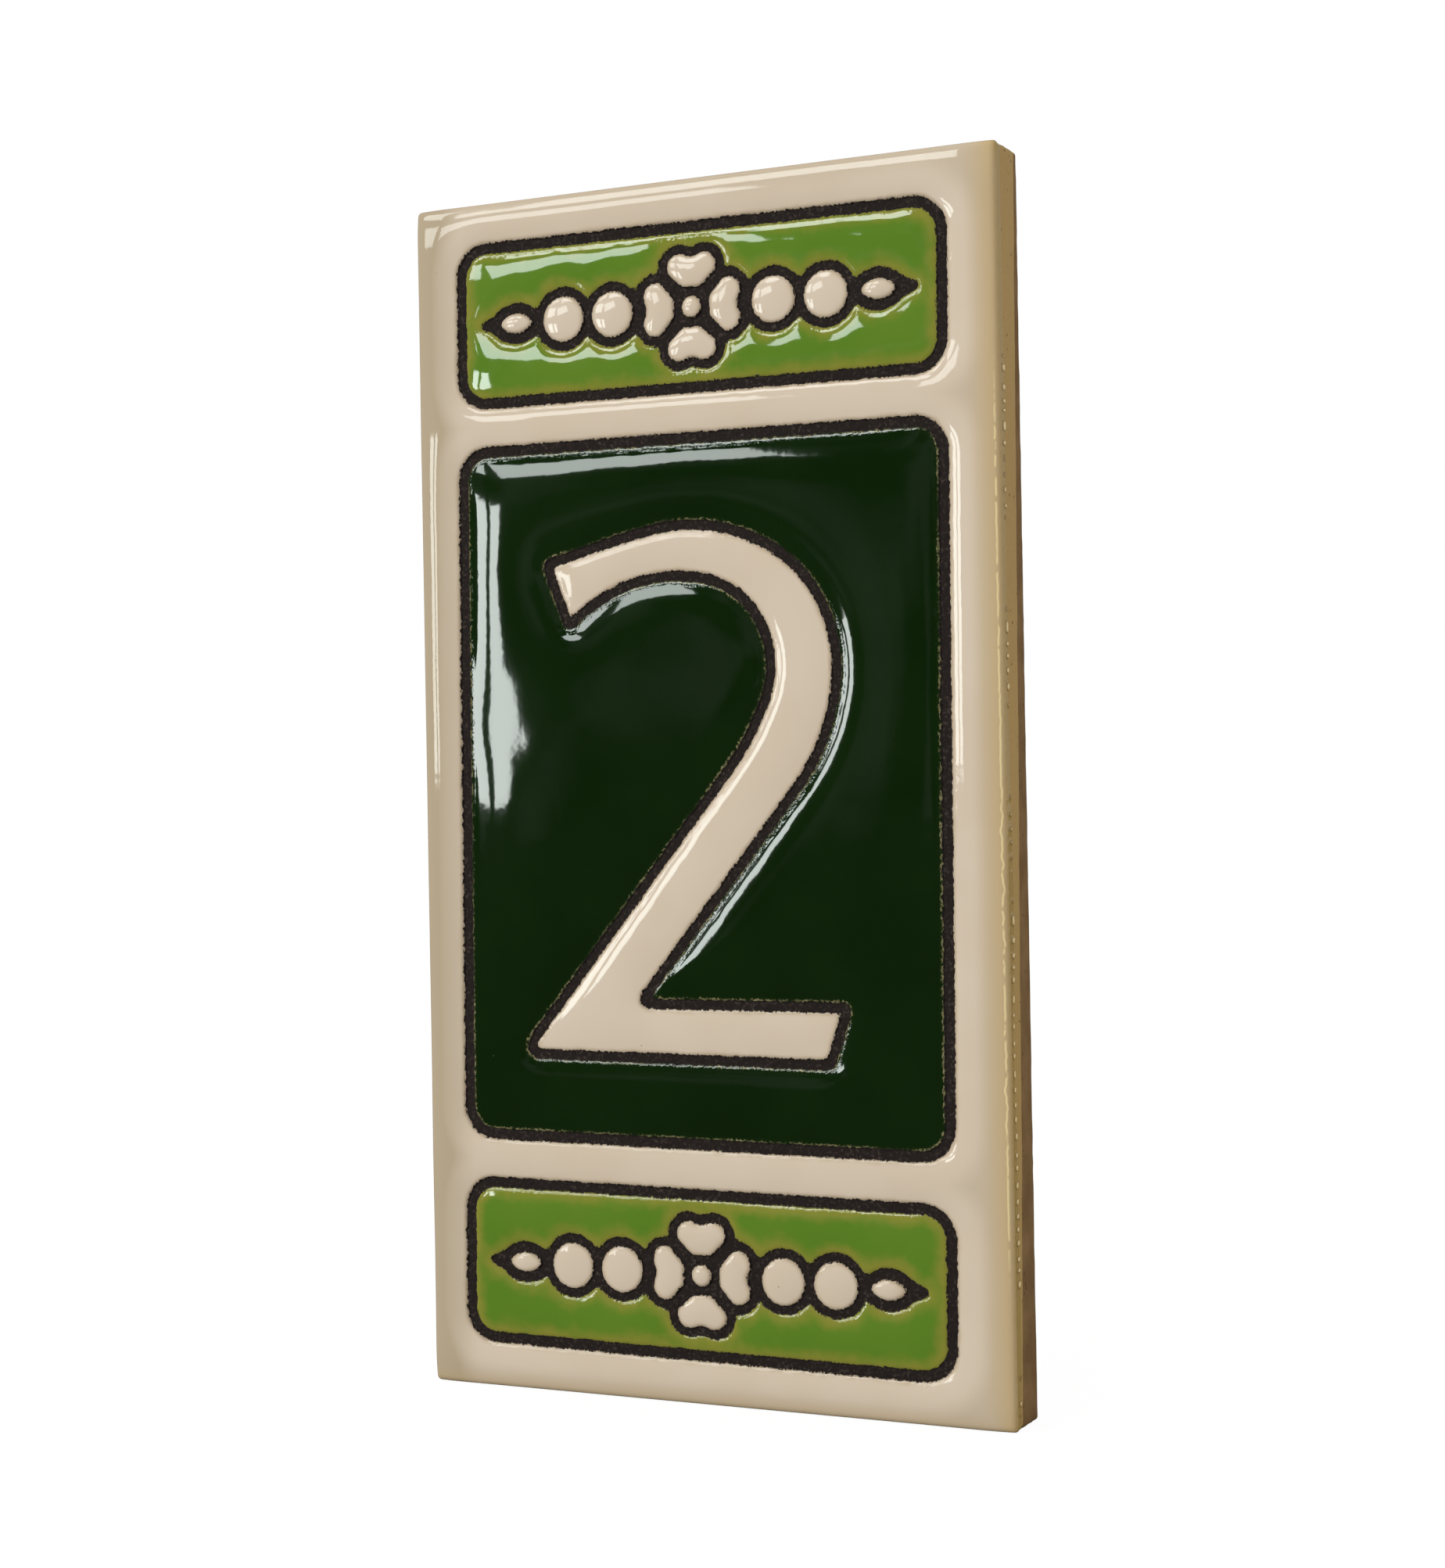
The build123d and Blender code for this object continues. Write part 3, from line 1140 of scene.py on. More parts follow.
def respace(loop: Array, spacing: float) -> Array:
    """Spreads points evenly along a closed line.

    Args:
        loop: Points of the line.
        spacing: Distance between the new points.

    Returns:
        The new points.
    """
    closed = np.vstack([loop, loop[:1]])
    along = np.concatenate([[0], np.cumsum(np.hypot(*np.diff(closed, axis=0).T))])
    count = max(FEWEST_POINTS, round(along[-1] / spacing))
    places = np.linspace(0, along[-1], count, endpoint=False)
    return np.stack([np.interp(places, along, closed[:, k]) for k in (0, 1)], 1)


@dataclass
class Skin:
    """Triangulated sheet over a pool: fine along its rim and coarse in its middle."""

    points: Array
    triangles: Array
    rim: Array
    rim_loops: list[Array]

    RINGS = ((0.05, 0.13), (0.11, 0.15), (0.2, 0.18), (0.34, 0.22), (0.55, 0.3), (0.85, 0.4), (1.25, 0.5))
    RIM_SPACING = 0.12
    MIDDLE_SPACING = 0.62
    MIDDLE_DEPTH = 0.3
    ROW_SHARE = 0.87
    WELD = 1e-6
    LEAST_AREA = 1e-7
    STEEPEST = 5
    SOLVER_STEPS = 600
    SOLVER_GOAL = 1e-14
    SOLVER_FLOOR = 1e-30

    @classmethod
    def over(cls, plate: Plate, distance: Array) -> "Skin":
        """Covers the region where a distance is negative.

        Args:
            plate: The grid that the distance is on.
            distance: Signed distance to the region's edge.

        Returns:
            The sheet.
        """
        edge_loops = [loop for loop in plate.loops(distance, 0.0) if len(loop) > FEWEST_POINTS]
        rims = [respace(loop, cls.RIM_SPACING) for loop in edge_loops]
        free = [respace(loop, gap) for depth, gap in cls.RINGS for loop in plate.loops(distance, -depth)]
        free.append(cls.middle(plate, distance))
        count = sum(map(len, rims))
        edges = []
        first = 0
        for rim in rims:
            ids = np.arange(first, first + len(rim))
            edges += np.stack([ids, np.roll(ids, -1)], 1).tolist()
            first += len(rim)
        given = [Vector(p) for p in np.vstack(rims + free)]
        found, _, faces, sources, _, _ = delaunay_2d_cdt(given, edges, [], 0, cls.WELD, True)
        points = np.array([(p.x, p.y) for p in found])
        triangles = np.array([f for f in faces if len(f) == 3])
        centres = points[triangles].mean(1)
        triangles = triangles[plate.read(distance, centres) < 0]
        a, b, c = (points[triangles[:, k]] for k in range(3))
        area = (b[:, 0] - a[:, 0]) * (c[:, 1] - a[:, 1]) - (b[:, 1] - a[:, 1]) * (c[:, 0] - a[:, 0])
        triangles = triangles[area > cls.LEAST_AREA]
        place = np.full(len(given), -1)
        for vertex, ids in enumerate(sources):
            place[ids] = vertex
        used = np.zeros(len(points), bool)
        used[triangles] = True
        used[place[:count]] = True
        renumber = np.cumsum(used) - 1
        rim_mask = np.zeros(len(points), bool)
        rim_mask[place[:count]] = True
        starts = np.cumsum([0] + [len(r) for r in rims])
        loops = [renumber[place[a:b]] for a, b in zip(starts[:-1], starts[1:])]
        return cls(points[used], renumber[triangles], rim_mask[used], loops)

    @classmethod
    def middle(cls, plate: Plate, distance: Array) -> Array:
        """Scatters points in rows over a region's middle.

        Args:
            plate: The grid that the distance is on.
            distance: Signed distance to the region's edge.

        Returns:
            The points.
        """
        depth = cls.RINGS[-1][0] + cls.MIDDLE_DEPTH
        inner = distance < -depth
        if not inner.any():
            return np.zeros((0, 2))
        low = np.array([plate.x[inner].min(), plate.z[inner].min()])
        high = np.array([plate.x[inner].max(), plate.z[inner].max()])
        gap = cls.MIDDLE_SPACING
        across = np.arange(low[0], high[0], gap)
        x, z = np.meshgrid(across, np.arange(low[1], high[1], gap * cls.ROW_SHARE))
        x = x + np.where(np.arange(len(x)) % 2, gap / 2, 0)[:, None]
        points = np.stack([x.ravel(), z.ravel()], 1)
        return points[plate.read(distance, points) < -depth]

    def settle(self, reach: float, fixed: Array) -> Array:
        """Height of a liquid film that is pinned at some points and level far from them.

        Args:
            reach: Distance over which it rises.
            fixed: Mask of the pinned points.

        Returns:
            Heights from 0 to about 1.
        """
        count = len(self.points)
        stiffness = np.zeros(count)
        mass = np.zeros(count)
        ends, weights = [], []
        for k in range(3):
            i, j, o = (self.triangles[:, (k + s) % 3] for s in range(3))
            p, q = self.points[i] - self.points[o], self.points[j] - self.points[o]
            cross = np.abs(p[:, 0] * q[:, 1] - p[:, 1] * q[:, 0])
            slope = (p * q).sum(1) / np.maximum(cross, TINY)
            weight = np.clip(slope, -self.STEEPEST, self.STEEPEST) * 0.5 * reach**2
            ends.append((i, j))
            weights.append(weight)
            stiffness += np.bincount(i, weight, count) + np.bincount(j, weight, count)
            mass += np.bincount(o, cross / 6, count)
        first = np.concatenate([e[0] for e in ends])
        second = np.concatenate([e[1] for e in ends])
        weight = np.concatenate(weights)
        free = ~fixed
        mass = np.maximum(mass, TINY)
        diagonal = np.maximum(stiffness + mass, TINY)

        def apply(h: Array) -> Array:
            """Left side of the film's equation."""
            pull = np.bincount(first, weight * h[second], count)
            pull += np.bincount(second, weight * h[first], count)
            return free * (diagonal * h - pull)

        height = np.zeros(count)
        rest = free * mass
        step = rest / diagonal
        push = step.copy()
        old = rest @ step
        for _ in range(self.SOLVER_STEPS):
            change = apply(push)
            size = old / max(push @ change, self.SOLVER_FLOOR)
            height += size * push
            rest -= size * change
            step = free * rest / diagonal
            new = rest @ step
            if new < self.SOLVER_GOAL * max(1.0, mass.sum()):
                break
            push = step + new / old * push
            old = new
        return height


def strip(row: Array, onward: Array) -> list[list[int]]:
    """Faces between two closed rows of as many points each."""
    return np.stack([row, onward, np.roll(onward, -1), np.roll(row, -1)], 1).tolist()


def add_piece(name: str, points: Array, faces: list, material: bpy.types.Material,
              marks: dict[str, Array] | None = None) -> bpy.types.Object:
    """Makes a piece of the tile.

    Args:
        name: The piece's name.
        points: Its points in millimetres.
        faces: Its faces as lists of point numbers.
        material: Its material.
        marks: Numbers that the mesh carries at its points, by name.

    Returns:
        The piece, riding on the tile's body in place of the CAD node.
    """
    mesh = bpy.data.meshes.new(name)
    mesh.from_pydata((points * MM).tolist(), [], faces)
    mesh.polygons.foreach_set("use_smooth", np.ones(len(mesh.polygons), bool))
    for mark, values in (marks or {}).items():
        layer = mesh.attributes.new(mark, "FLOAT", "POINT")
        layer.data.foreach_set("value", values.astype(np.float32))
    mesh.materials.append(material)
    mesh.update()
    piece = bpy.data.objects.new(name, mesh)
    bpy.context.scene.collection.objects.link(piece)
    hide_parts("tile")
    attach(piece, "root")
    triangles = sum(len(p.vertices) - 2 for p in mesh.polygons)
    log.info("%s: %d triangles", name, triangles)
    return piece


@dataclass(frozen=True)
class Swell:
    """Low hump of glaze."""

    across: float
    up: float
    width: float
    height: float
    rise: float

    def rise_at(self, x: Array, z: Array) -> Array:
        """How far the glaze stands up at some points."""
        far = ((x - self.across) / self.width) ** 2 + ((z - self.up) / self.height) ** 2
        return self.rise * np.exp(-far)


@dataclass(frozen=True)
class Slack:
    """Place where the glaze ran thin and rises more slowly from its line."""

    across: float
    up: float
    width: float
    height: float
    reach: float
    share: float
    swell: Swell
    crease_height: float = 0.004
    crease_length: float = 1.6

    def share_at(self, x: Array, z: Array) -> Array:
        """How slack the glaze is at some points, from 0 to 1."""
        far = ((x - self.across) / self.width) ** 2 + ((z - self.up) / self.height) ** 2
        return self.share * np.exp(-far)


@dataclass(frozen=True)
class Meniscus:
    """How a pool of glaze stands above its dry line: a steep rim, then a slow rise."""

    rim_height: float = 0.11
    rim_reach: float = 0.075
    crown_height: float = 0.38
    crown_reach: float = 1.8
    crown_is_peak: bool = False
    wave_height: float = 0.011
    wave_length: float = 4.5
    slack: Slack | None = None

    WAVE_SHARES = (0.65, 0.35)
    FINE_WAVE = 0.5
    CREASE_SEED = 900

    def heights(self, skin: Skin, fixed: Array, seed: int) -> Array:
        """Heights of a sheet above its dry line.

        Args:
            skin: The sheet.
            fixed: Mask of the points on the line.
            seed: Start of the random waves.

        Returns:
            The height at each point.
        """
        rim = skin.settle(self.rim_reach, fixed)
        crown = skin.settle(self.crown_reach, fixed)
        if self.crown_is_peak:
            crown = crown / crown.max()
        x, z = skin.points.T
        if self.slack:
            crown += self.slack.share_at(x, z) * (skin.settle(self.slack.reach, fixed) - crown)
        coarse = Ripple(seed, self.wave_length)
        fine = Ripple(seed + 1, self.FINE_WAVE * self.wave_length)
        coarse_share, fine_share = self.WAVE_SHARES
        wave = self.wave_height * (coarse_share * coarse(x, z) + fine_share * fine(x, z))
        if self.slack:
            wave += self.slack.swell.rise_at(x, z)
            creases = Ripple(seed + self.CREASE_SEED, self.slack.crease_length)
            wave += self.slack.share_at(x, z) * (self.slack.crease_height * creases(x, z))
        return self.rim_height * rim + self.crown_height * crown + wave * crown


NUMERAL_MENISCUS = Meniscus()
NUMBER_SWELL = Swell(across=-13.2, up=8.2, width=4.5, height=6.5, rise=0.064)
NUMBER_SLACK = Slack(across=-20.5, up=6.5, width=9.0, height=6.0, reach=6.0, share=0.6, swell=NUMBER_SWELL)
NUMBER_MENISCUS = Meniscus(slack=NUMBER_SLACK)
BAND_MENISCUS = Meniscus(rim_height=0.15, rim_reach=0.17, wave_height=0.05, wave_length=2.4)
CELL_MENISCUS = Meniscus(rim_height=0.16, crown_height=0.21, crown_reach=0.9, crown_is_peak=True)


@dataclass
class Relief:
    """Distances of all pools, with the ragged edges that the dry lines leave them."""

    drawing: Drawing
    plate: Plate
    line_level: float = 5.4
    rag_height: float = 0.03
    rag_length: float = 0.75
    fine_rag_height: float = 0.055
    fine_rag_length: float = 0.3
    rag_reach: float = 0.4
    cell_rag_share: float = 0.5
    softness: float = 0.16
    pools: dict[str, Array] = field(default_factory=dict)

    LARGE_POOLS = ("border", "number_field", "numeral", "top_field", "bottom_field")
    SEEDS_A_POOL = 10

    def prepare(self) -> None:
        """Works out the distances of every pool."""
        drawing, plate = self.drawing, self.plate
        u, w = drawing.on_paper(plate.x, plate.z)
        fields = drawing.panels(u, w, drawing.line)
        numeral = plate.soften(drawing.numeral(u, w), self.softness)
        self.pools["number_field"] = np.maximum(fields["number"], drawing.numeral_line - numeral)
        self.pools["numeral"] = numeral
        for band, side in (("top", 1), ("bottom", -1)):
            below = w - side * drawing.band_place
            self.pools[f"{band}_field"] = np.maximum(fields[band], -drawing.ornament(u, below))
            for cell, distance in drawing.cells(u, below).items():
                self.pools[f"{band}_{cell}"] = distance
        self.pools["border"] = -np.minimum.reduce(list(drawing.panels(u, w, 0.0).values()))
        for number, name in enumerate(self.pools):
            share = 1.0 if name in self.LARGE_POOLS else self.cell_rag_share
            softened = plate.soften(self.pools[name], self.softness)
            self.pools[name] = self.ragged(softened, self.SEEDS_A_POOL * number, share)

    def ragged(self, distance: Array, seed: int, share: float) -> Array:
        """Frays the edge of a pool.

        Args:
            distance: Signed distance to its clean edge.
            seed: Start of the random fraying.
            share: How much of the fraying it gets.

        Returns:
            Signed distance to the frayed edge.
        """
        x, z = self.plate.x, self.plate.z
        fray = self.rag_height * Ripple(seed + 1, self.rag_length)(x, z)
        fray += self.fine_rag_height * Ripple(seed + 2, self.fine_rag_length)(x, z)
        return distance + share * fray * np.exp(-((distance / self.rag_reach) ** 2))

    def lines(self) -> Array:
        """Signed distance to the dry lines: what the pools leave free inside the panels."""
        glazed = np.minimum.reduce([d for n, d in self.pools.items() if n != "border"])
        return np.maximum(-self.pools["border"], -glazed)


@dataclass
class GlazePool:
    """One pool of glaze inside a panel."""

    name: str
    finish: bpy.types.Material
    slot: Slot
    meniscus: Meniscus
    sink: float = 0.06

    FIRST_SEED = 100
    SEEDS_A_POOL = 2

    def build(self, relief: Relief, seed: int) -> bpy.types.Object:
        """Builds the pool.

        Args:
            relief: The distances of all pools.
            seed: Start of the random waves.

        Returns:
            The piece.
        """
        skin = Skin.over(relief.plate, relief.pools[self.name])
        height = self.meniscus.heights(skin, skin.rim, seed)
        x, z = skin.points.T
        y = -relief.line_level - height + self.sink * skin.rim
        edge = -relief.plate.read(relief.pools[self.name], skin.points)
        points = np.stack([x, y, z], 1)
        return add_piece(self.name, points, skin.triangles.tolist(), self.finish, {"edge": edge})


@dataclass
class DryLines:
    """Grainy floor of the dry lines, which runs a little way under the glaze."""

    finish: bpy.types.Material
    step: float = 0.13
    margin: float = 2.0
    overlap: float = 0.22
    swell: float = 0.03
    swell_length: float = 0.5
    grain: float = 0.03

    SWELL_SEED = 3
    GRAIN_SEED = 4

    def build(self, relief: Relief) -> bpy.types.Object:
        """Builds the lines.

        Args:
            relief: The distances of all pools.

        Returns:
            The piece.
        """
        drawing = relief.drawing
        half_x, half_z = drawing.width / 2 - self.margin, drawing.height / 2 - self.margin
        x, z = np.meshgrid(np.arange(-half_x, half_x, self.step), np.arange(-half_z, half_z, self.step))
        flat = np.stack([x.ravel(), z.ravel()], 1)
        distance = relief.plate.read(relief.lines(), flat)
        keep = (distance < self.overlap).reshape(x.shape)
        cells = keep[:-1, :-1] & keep[:-1, 1:] & keep[1:, 1:] & keep[1:, :-1]
        j, i = np.nonzero(cells)
        columns = x.shape[1]
        corner = j * columns + i
        quads = np.stack([corner, corner + 1, corner + columns + 1, corner + columns], 1)
        used = np.unique(quads)
        renumber = np.zeros(flat.shape[0], int)
        renumber[used] = np.arange(len(used))
        rough = np.random.default_rng(self.GRAIN_SEED).uniform(-1, 1, len(used))
        u, v = flat[used].T
        height = self.swell * Ripple(self.SWELL_SEED, self.swell_length)(u, v) + self.grain * rough
        points = np.stack([u, -relief.line_level - height, v], 1)
        return add_piece("dry_lines", points, renumber[quads].tolist(), self.finish)


@dataclass
class CreamBorder:
    """Cream glaze between the panels, which rolls over the tile's edge and ends in a beaded drip."""

    finish: bpy.types.Material
    meniscus: Meniscus = Meniscus(rim_height=0.16, rim_reach=0.13, crown_height=0.39, crown_reach=1.5)
    inset: float = 0.02
    roll_width: float = 2.4
    roll_slope: float = 0.27
    arris: float = 0.48
    corner_blend: float = 3.0
    skirt_inset: float = 0.08
    skirt_swell: float = 0.15
    skirt_turns: float = 4.0
    rim_slack: float = 0.06
    sink: float = 0.06
    drip_depth: float = 1.0
    drip_swing: float = 0.3
    drip_length: float = 11.0
    fine_drip_share: float = 0.2
    fine_drip_length: float = 1.1
    bead_swell: float = 0.085
    bead_pitch: float = 1.25
    bead_jitter: float = 0.45
    bead_jitter_length: float = 2.0
    bead_fullness: float = 0.7
    bead_group: Span = (2.5, 0.8)
    bead_group_length: float = 7.0
    bead_hang: float = 0.22
    bead_skew: float = 1.8
    bead_top: float = 37.0
    lip_inset: float = 0.05
    lip_power: int = 8
    rows: int = 12

    WAVE_SEED = 70
    DRIP_SEEDS = (41, 42, 43, 44)
    SLANT = 0.37
    FAR_FROM_LINES = 5.0

    def build(self, relief: Relief) -> bpy.types.Object:
        """Builds the border.

        Args:
            relief: The distances of all pools.

        Returns:
            The piece.
        """
        plate, drawing = relief.plate, relief.drawing
        outline = drawing.tile_outline(plate.x, plate.z, self.inset)
        skin = Skin.over(plate, np.maximum(relief.pools["border"], outline))
        inward = -plate.read(outline, skin.points)
        edge = -plate.read(relief.pools["border"], skin.points)
        pinned = skin.rim & (inward >= self.rim_slack)
        height = self.meniscus.heights(skin, pinned, self.WAVE_SEED)
        x, z = skin.points.T
        across, up = drawing.width / 2 - np.abs(x), drawing.height / 2 - np.abs(z)
        short = np.maximum(1 - blend_union(across, up, self.corner_blend) / self.roll_width, 0)
        turn = np.clip(self.arris - inward, 0, self.arris)
        drop = 0.5 * self.roll_slope * self.roll_width * short**2
        drop += self.arris - np.sqrt(self.arris**2 - turn**2)
        y = -relief.line_level - height + drop
        y = np.where(pinned, y + self.sink, y)
        points = [np.stack([x, y, z], 1)]
        drips = [np.zeros(len(x))]
        faces = skin.triangles.tolist()
        loop = max(skin.rim_loops, key=lambda ids: np.ptp(skin.points[ids, 0]))
        self.run_down(points, drips, faces, loop)
        drip = np.concatenate(drips)
        edge = np.concatenate([edge, np.full(len(drip) - len(edge), self.FAR_FROM_LINES)])
        marks = {"edge": edge, "drip": drip}
        return add_piece("cream_border", np.vstack(points), faces, self.finish, marks)

    def run_down(self, points: list[Array], drips: list[Array], faces: list, loop: Array) -> None:
        """Adds the glaze on the tile's sides, down to its ragged lower edge.

        Args:
            points: Blocks of points, to which the rows are added.
            drips: Blocks of drop shares, to which the rows are added.
            faces: Faces, to which the rows' faces are added.
            loop: Points of the front along the tile's edge, in order.
        """
        rim = points[0][loop]
        along = np.roll(rim, -1, 0) - np.roll(rim, 1, 0)
        if (rim[:, 0] * along[:, 2] - rim[:, 2] * along[:, 0]).sum() < 0:
            loop, rim, along = loop[::-1], rim[::-1], -along[::-1]
        outward = np.stack([along[:, 2], np.zeros(len(rim)), -along[:, 0]], 1)
        outward /= np.linalg.norm(outward, axis=1)[:, None]
        place = rim[:, 2] + self.SLANT * rim[:, 0]
        other = rim[:, 0] - self.SLANT * rim[:, 2]
        lengths = (self.drip_length, self.fine_drip_length, self.bead_jitter_length, self.bead_group_length)
        waves = [Ripple(seed, size)(place, other) for seed, size in zip(self.DRIP_SEEDS, lengths)]
        length = self.drip_depth + self.drip_swing * waves[0]
        length += self.fine_drip_share * self.drip_swing * waves[1]
        travel = np.cumsum(np.hypot(along[:, 0], along[:, 2])) / 2
        phase = travel / self.bead_pitch + self.bead_jitter * waves[2]
        beads = np.clip(np.cos(2 * math.pi * phase), 0, 1) ** self.bead_fullness
        gain, offset = self.bead_group
        beads = beads * np.clip(gain * waves[3] + offset, 0, 1)
        beads = beads * np.clip(self.bead_top - rim[:, 2], 0, 1)
        length += self.bead_hang * beads
        previous = loop
        first = len(points[0])
        for row in range(1, self.rows + 1):
            share = row / self.rows
            swell = math.sin(math.pi * share**self.bead_skew)
            ring = rim.copy()
            ring[:, 1] += length * share
            ring += outward * (self.bead_swell * (self.skirt_swell + beads) * swell)[:, None]
            ring -= outward * self.skirt_inset * min(1.0, self.skirt_turns * share)
            ring -= outward * self.lip_inset * share**self.lip_power
            ids = np.arange(first, first + len(ring))
            first += len(ring)
            points.append(ring)
            drips.append(beads * swell)
            faces += strip(previous, ids)
            previous = ids


@dataclass
class ClayBody:
    """Fired clay slab: rough sides and a back with pressed keying grooves."""

    finish: bpy.types.Material
    drawing: Drawing
    inset: float = 0.13
    back_inset: float = 0.03
    inset_span: Span = (3.3, 4.2)
    corner_radius: float = 0.4
    chamfer: float = 0.4
    groove_count: int = 6
    groove_width: float = 3.6
    groove_depth: float = 0.5
    groove_rim: float = 5.0
    wall: float = 0.25
    gap: float = 0.7
    rough_height: float = 0.04
    rough_length: float = 1.4
    fine_rough_height: float = 0.03
    fine_rough_length: float = 0.8
    rough_share: float = 0.8
    side_rough_height: float = 0.04
    side_rough_length: float = 1.6
    side_levels: tuple[float, ...] = (4.9, 4.5, 4.0, 3.5, 3.0, 2.5, 2.0, 1.5, 1.0, 0.7)

    CORNER_STOPS = (0, 0.15, 0.4, 0.7, 1.0)
    ROUGH_SEEDS = (51, 52, 53)
    LEVEL_SHIFT = 3

    def stops(self, half: float, edges: list[float]) -> Array:
        """Grid places along one axis, with extra ones at the grooves' walls.

        Args:
            half: Half the length of the axis.
            edges: Places of the walls.

        Returns:
            The places in order.
        """
        corner = half - self.corner_radius * np.array(self.CORNER_STOPS)
        marks = sorted({*np.round(np.concatenate([corner, -corner]), 3).tolist(), *edges})
        runs = []
        for a, b in zip(marks, marks[1:]):
            count = max(2, math.ceil((b - a) / self.gap) + 1)
            runs.append(np.linspace(a, b, count)[:-1])
        return np.concatenate([*runs, [marks[-1]]])

    def rounded(self, x: Array, z: Array, inset: float) -> tuple[Array, Array]:
        """Fits a rectangular grid into the slab's rounded outline.

        Args:
            x: Places across the full rectangle.
            z: Places up the full rectangle.
            inset: How far the outline is drawn in.

        Returns:
            The fitted places.
        """
        half_x, half_z = self.drawing.width / 2, self.drawing.height / 2
        p = np.maximum(np.abs(x) - (half_x - self.corner_radius), 0)
        q = np.maximum(np.abs(z) - (half_z - self.corner_radius), 0)
        far = np.maximum(np.hypot(p, q), TINY)
        shrink = np.where((p > 0) & (q > 0), np.maximum(p, q) / far, 1.0)
        x = np.sign(x) * (np.abs(x) - p + p * shrink)
        z = np.sign(z) * (np.abs(z) - q + q * shrink)
        return x * (1 - inset / half_x), z * (1 - inset / half_z)

    def build(self) -> bpy.types.Object:
        """Builds the slab.

        Returns:
            The piece.
        """
        half_x, half_z = self.drawing.width / 2, self.drawing.height / 2
        pitch = (self.drawing.width - 2 * self.groove_rim) / self.groove_count
        middles = (np.arange(self.groove_count) - (self.groove_count - 1) / 2) * pitch
        half_groove = self.groove_width / 2
        walls = (-half_groove, -half_groove + self.wall, half_groove - self.wall, half_groove)
        ends = half_z - self.groove_rim
        columns = self.stops(half_x, [round(m + k, 3) for m in middles for k in walls])
        rows = self.stops(half_z, [-ends, -ends + self.wall, ends - self.wall, ends])
        x, z = np.meshgrid(columns, rows)
        nearest = np.abs(x[..., None] - middles).min(-1)
        into = np.minimum(half_groove - nearest, ends - np.abs(z))
        depth = self.groove_depth * np.clip(into / self.wall, 0, 1)
        back_seed, fine_seed, side_seed = self.ROUGH_SEEDS
        rough = self.rough_height * Ripple(back_seed, self.rough_length)(x, z)
        rough += self.fine_rough_height * Ripple(fine_seed, self.fine_rough_length)(x, z)
        flat_x, flat_z = self.rounded(x, z, self.back_inset + self.chamfer)
        back = np.stack([flat_x, -depth - np.abs(rough) * self.rough_share, flat_z], -1).reshape(-1, 3)
        count = x.size
        number = np.arange(count).reshape(x.shape)
        quads = np.stack([number[:-1, :-1], number[1:, :-1], number[1:, 1:], number[:-1, 1:]], -1)
        faces = quads.reshape(-1, 4).tolist()
        border = np.concatenate([number[0, :-1], number[:-1, -1], number[-1, :0:-1], number[:0:-1, 0]])
        border_x, border_z = x.ravel()[border], z.ravel()[border]
        points = [back]
        previous = border
        first = count
        side_rough = Ripple(side_seed, self.side_rough_length)
        for level in (self.chamfer, *sorted(self.side_levels)):
            inset = float(np.interp(level, self.inset_span, (self.back_inset, self.inset)))
            rx, rz = self.rounded(border_x, border_z, inset)
            uneven = side_rough(border_x + self.LEVEL_SHIFT * level, border_z)
            uneven = self.side_rough_height * np.abs(uneven)
            rx, rz = rx * (1 - uneven / half_x), rz * (1 - uneven / half_z)
            ring = np.stack([rx, np.full(len(rx), -level), rz], 1)
            ids = np.arange(first, first + len(ring))
            first += len(ring)
            points.append(ring)
            faces += strip(previous, ids)
            previous = ids
        faces.append(previous.tolist())
        return add_piece("clay_body", np.vstack(points), faces, self.finish)


@dataclass(frozen=True)
class Pane:
    """One pane of the window, in degrees as seen from the tile's middle."""

    across: Point
    up: Point
    light: float
    turn: float = 0.0


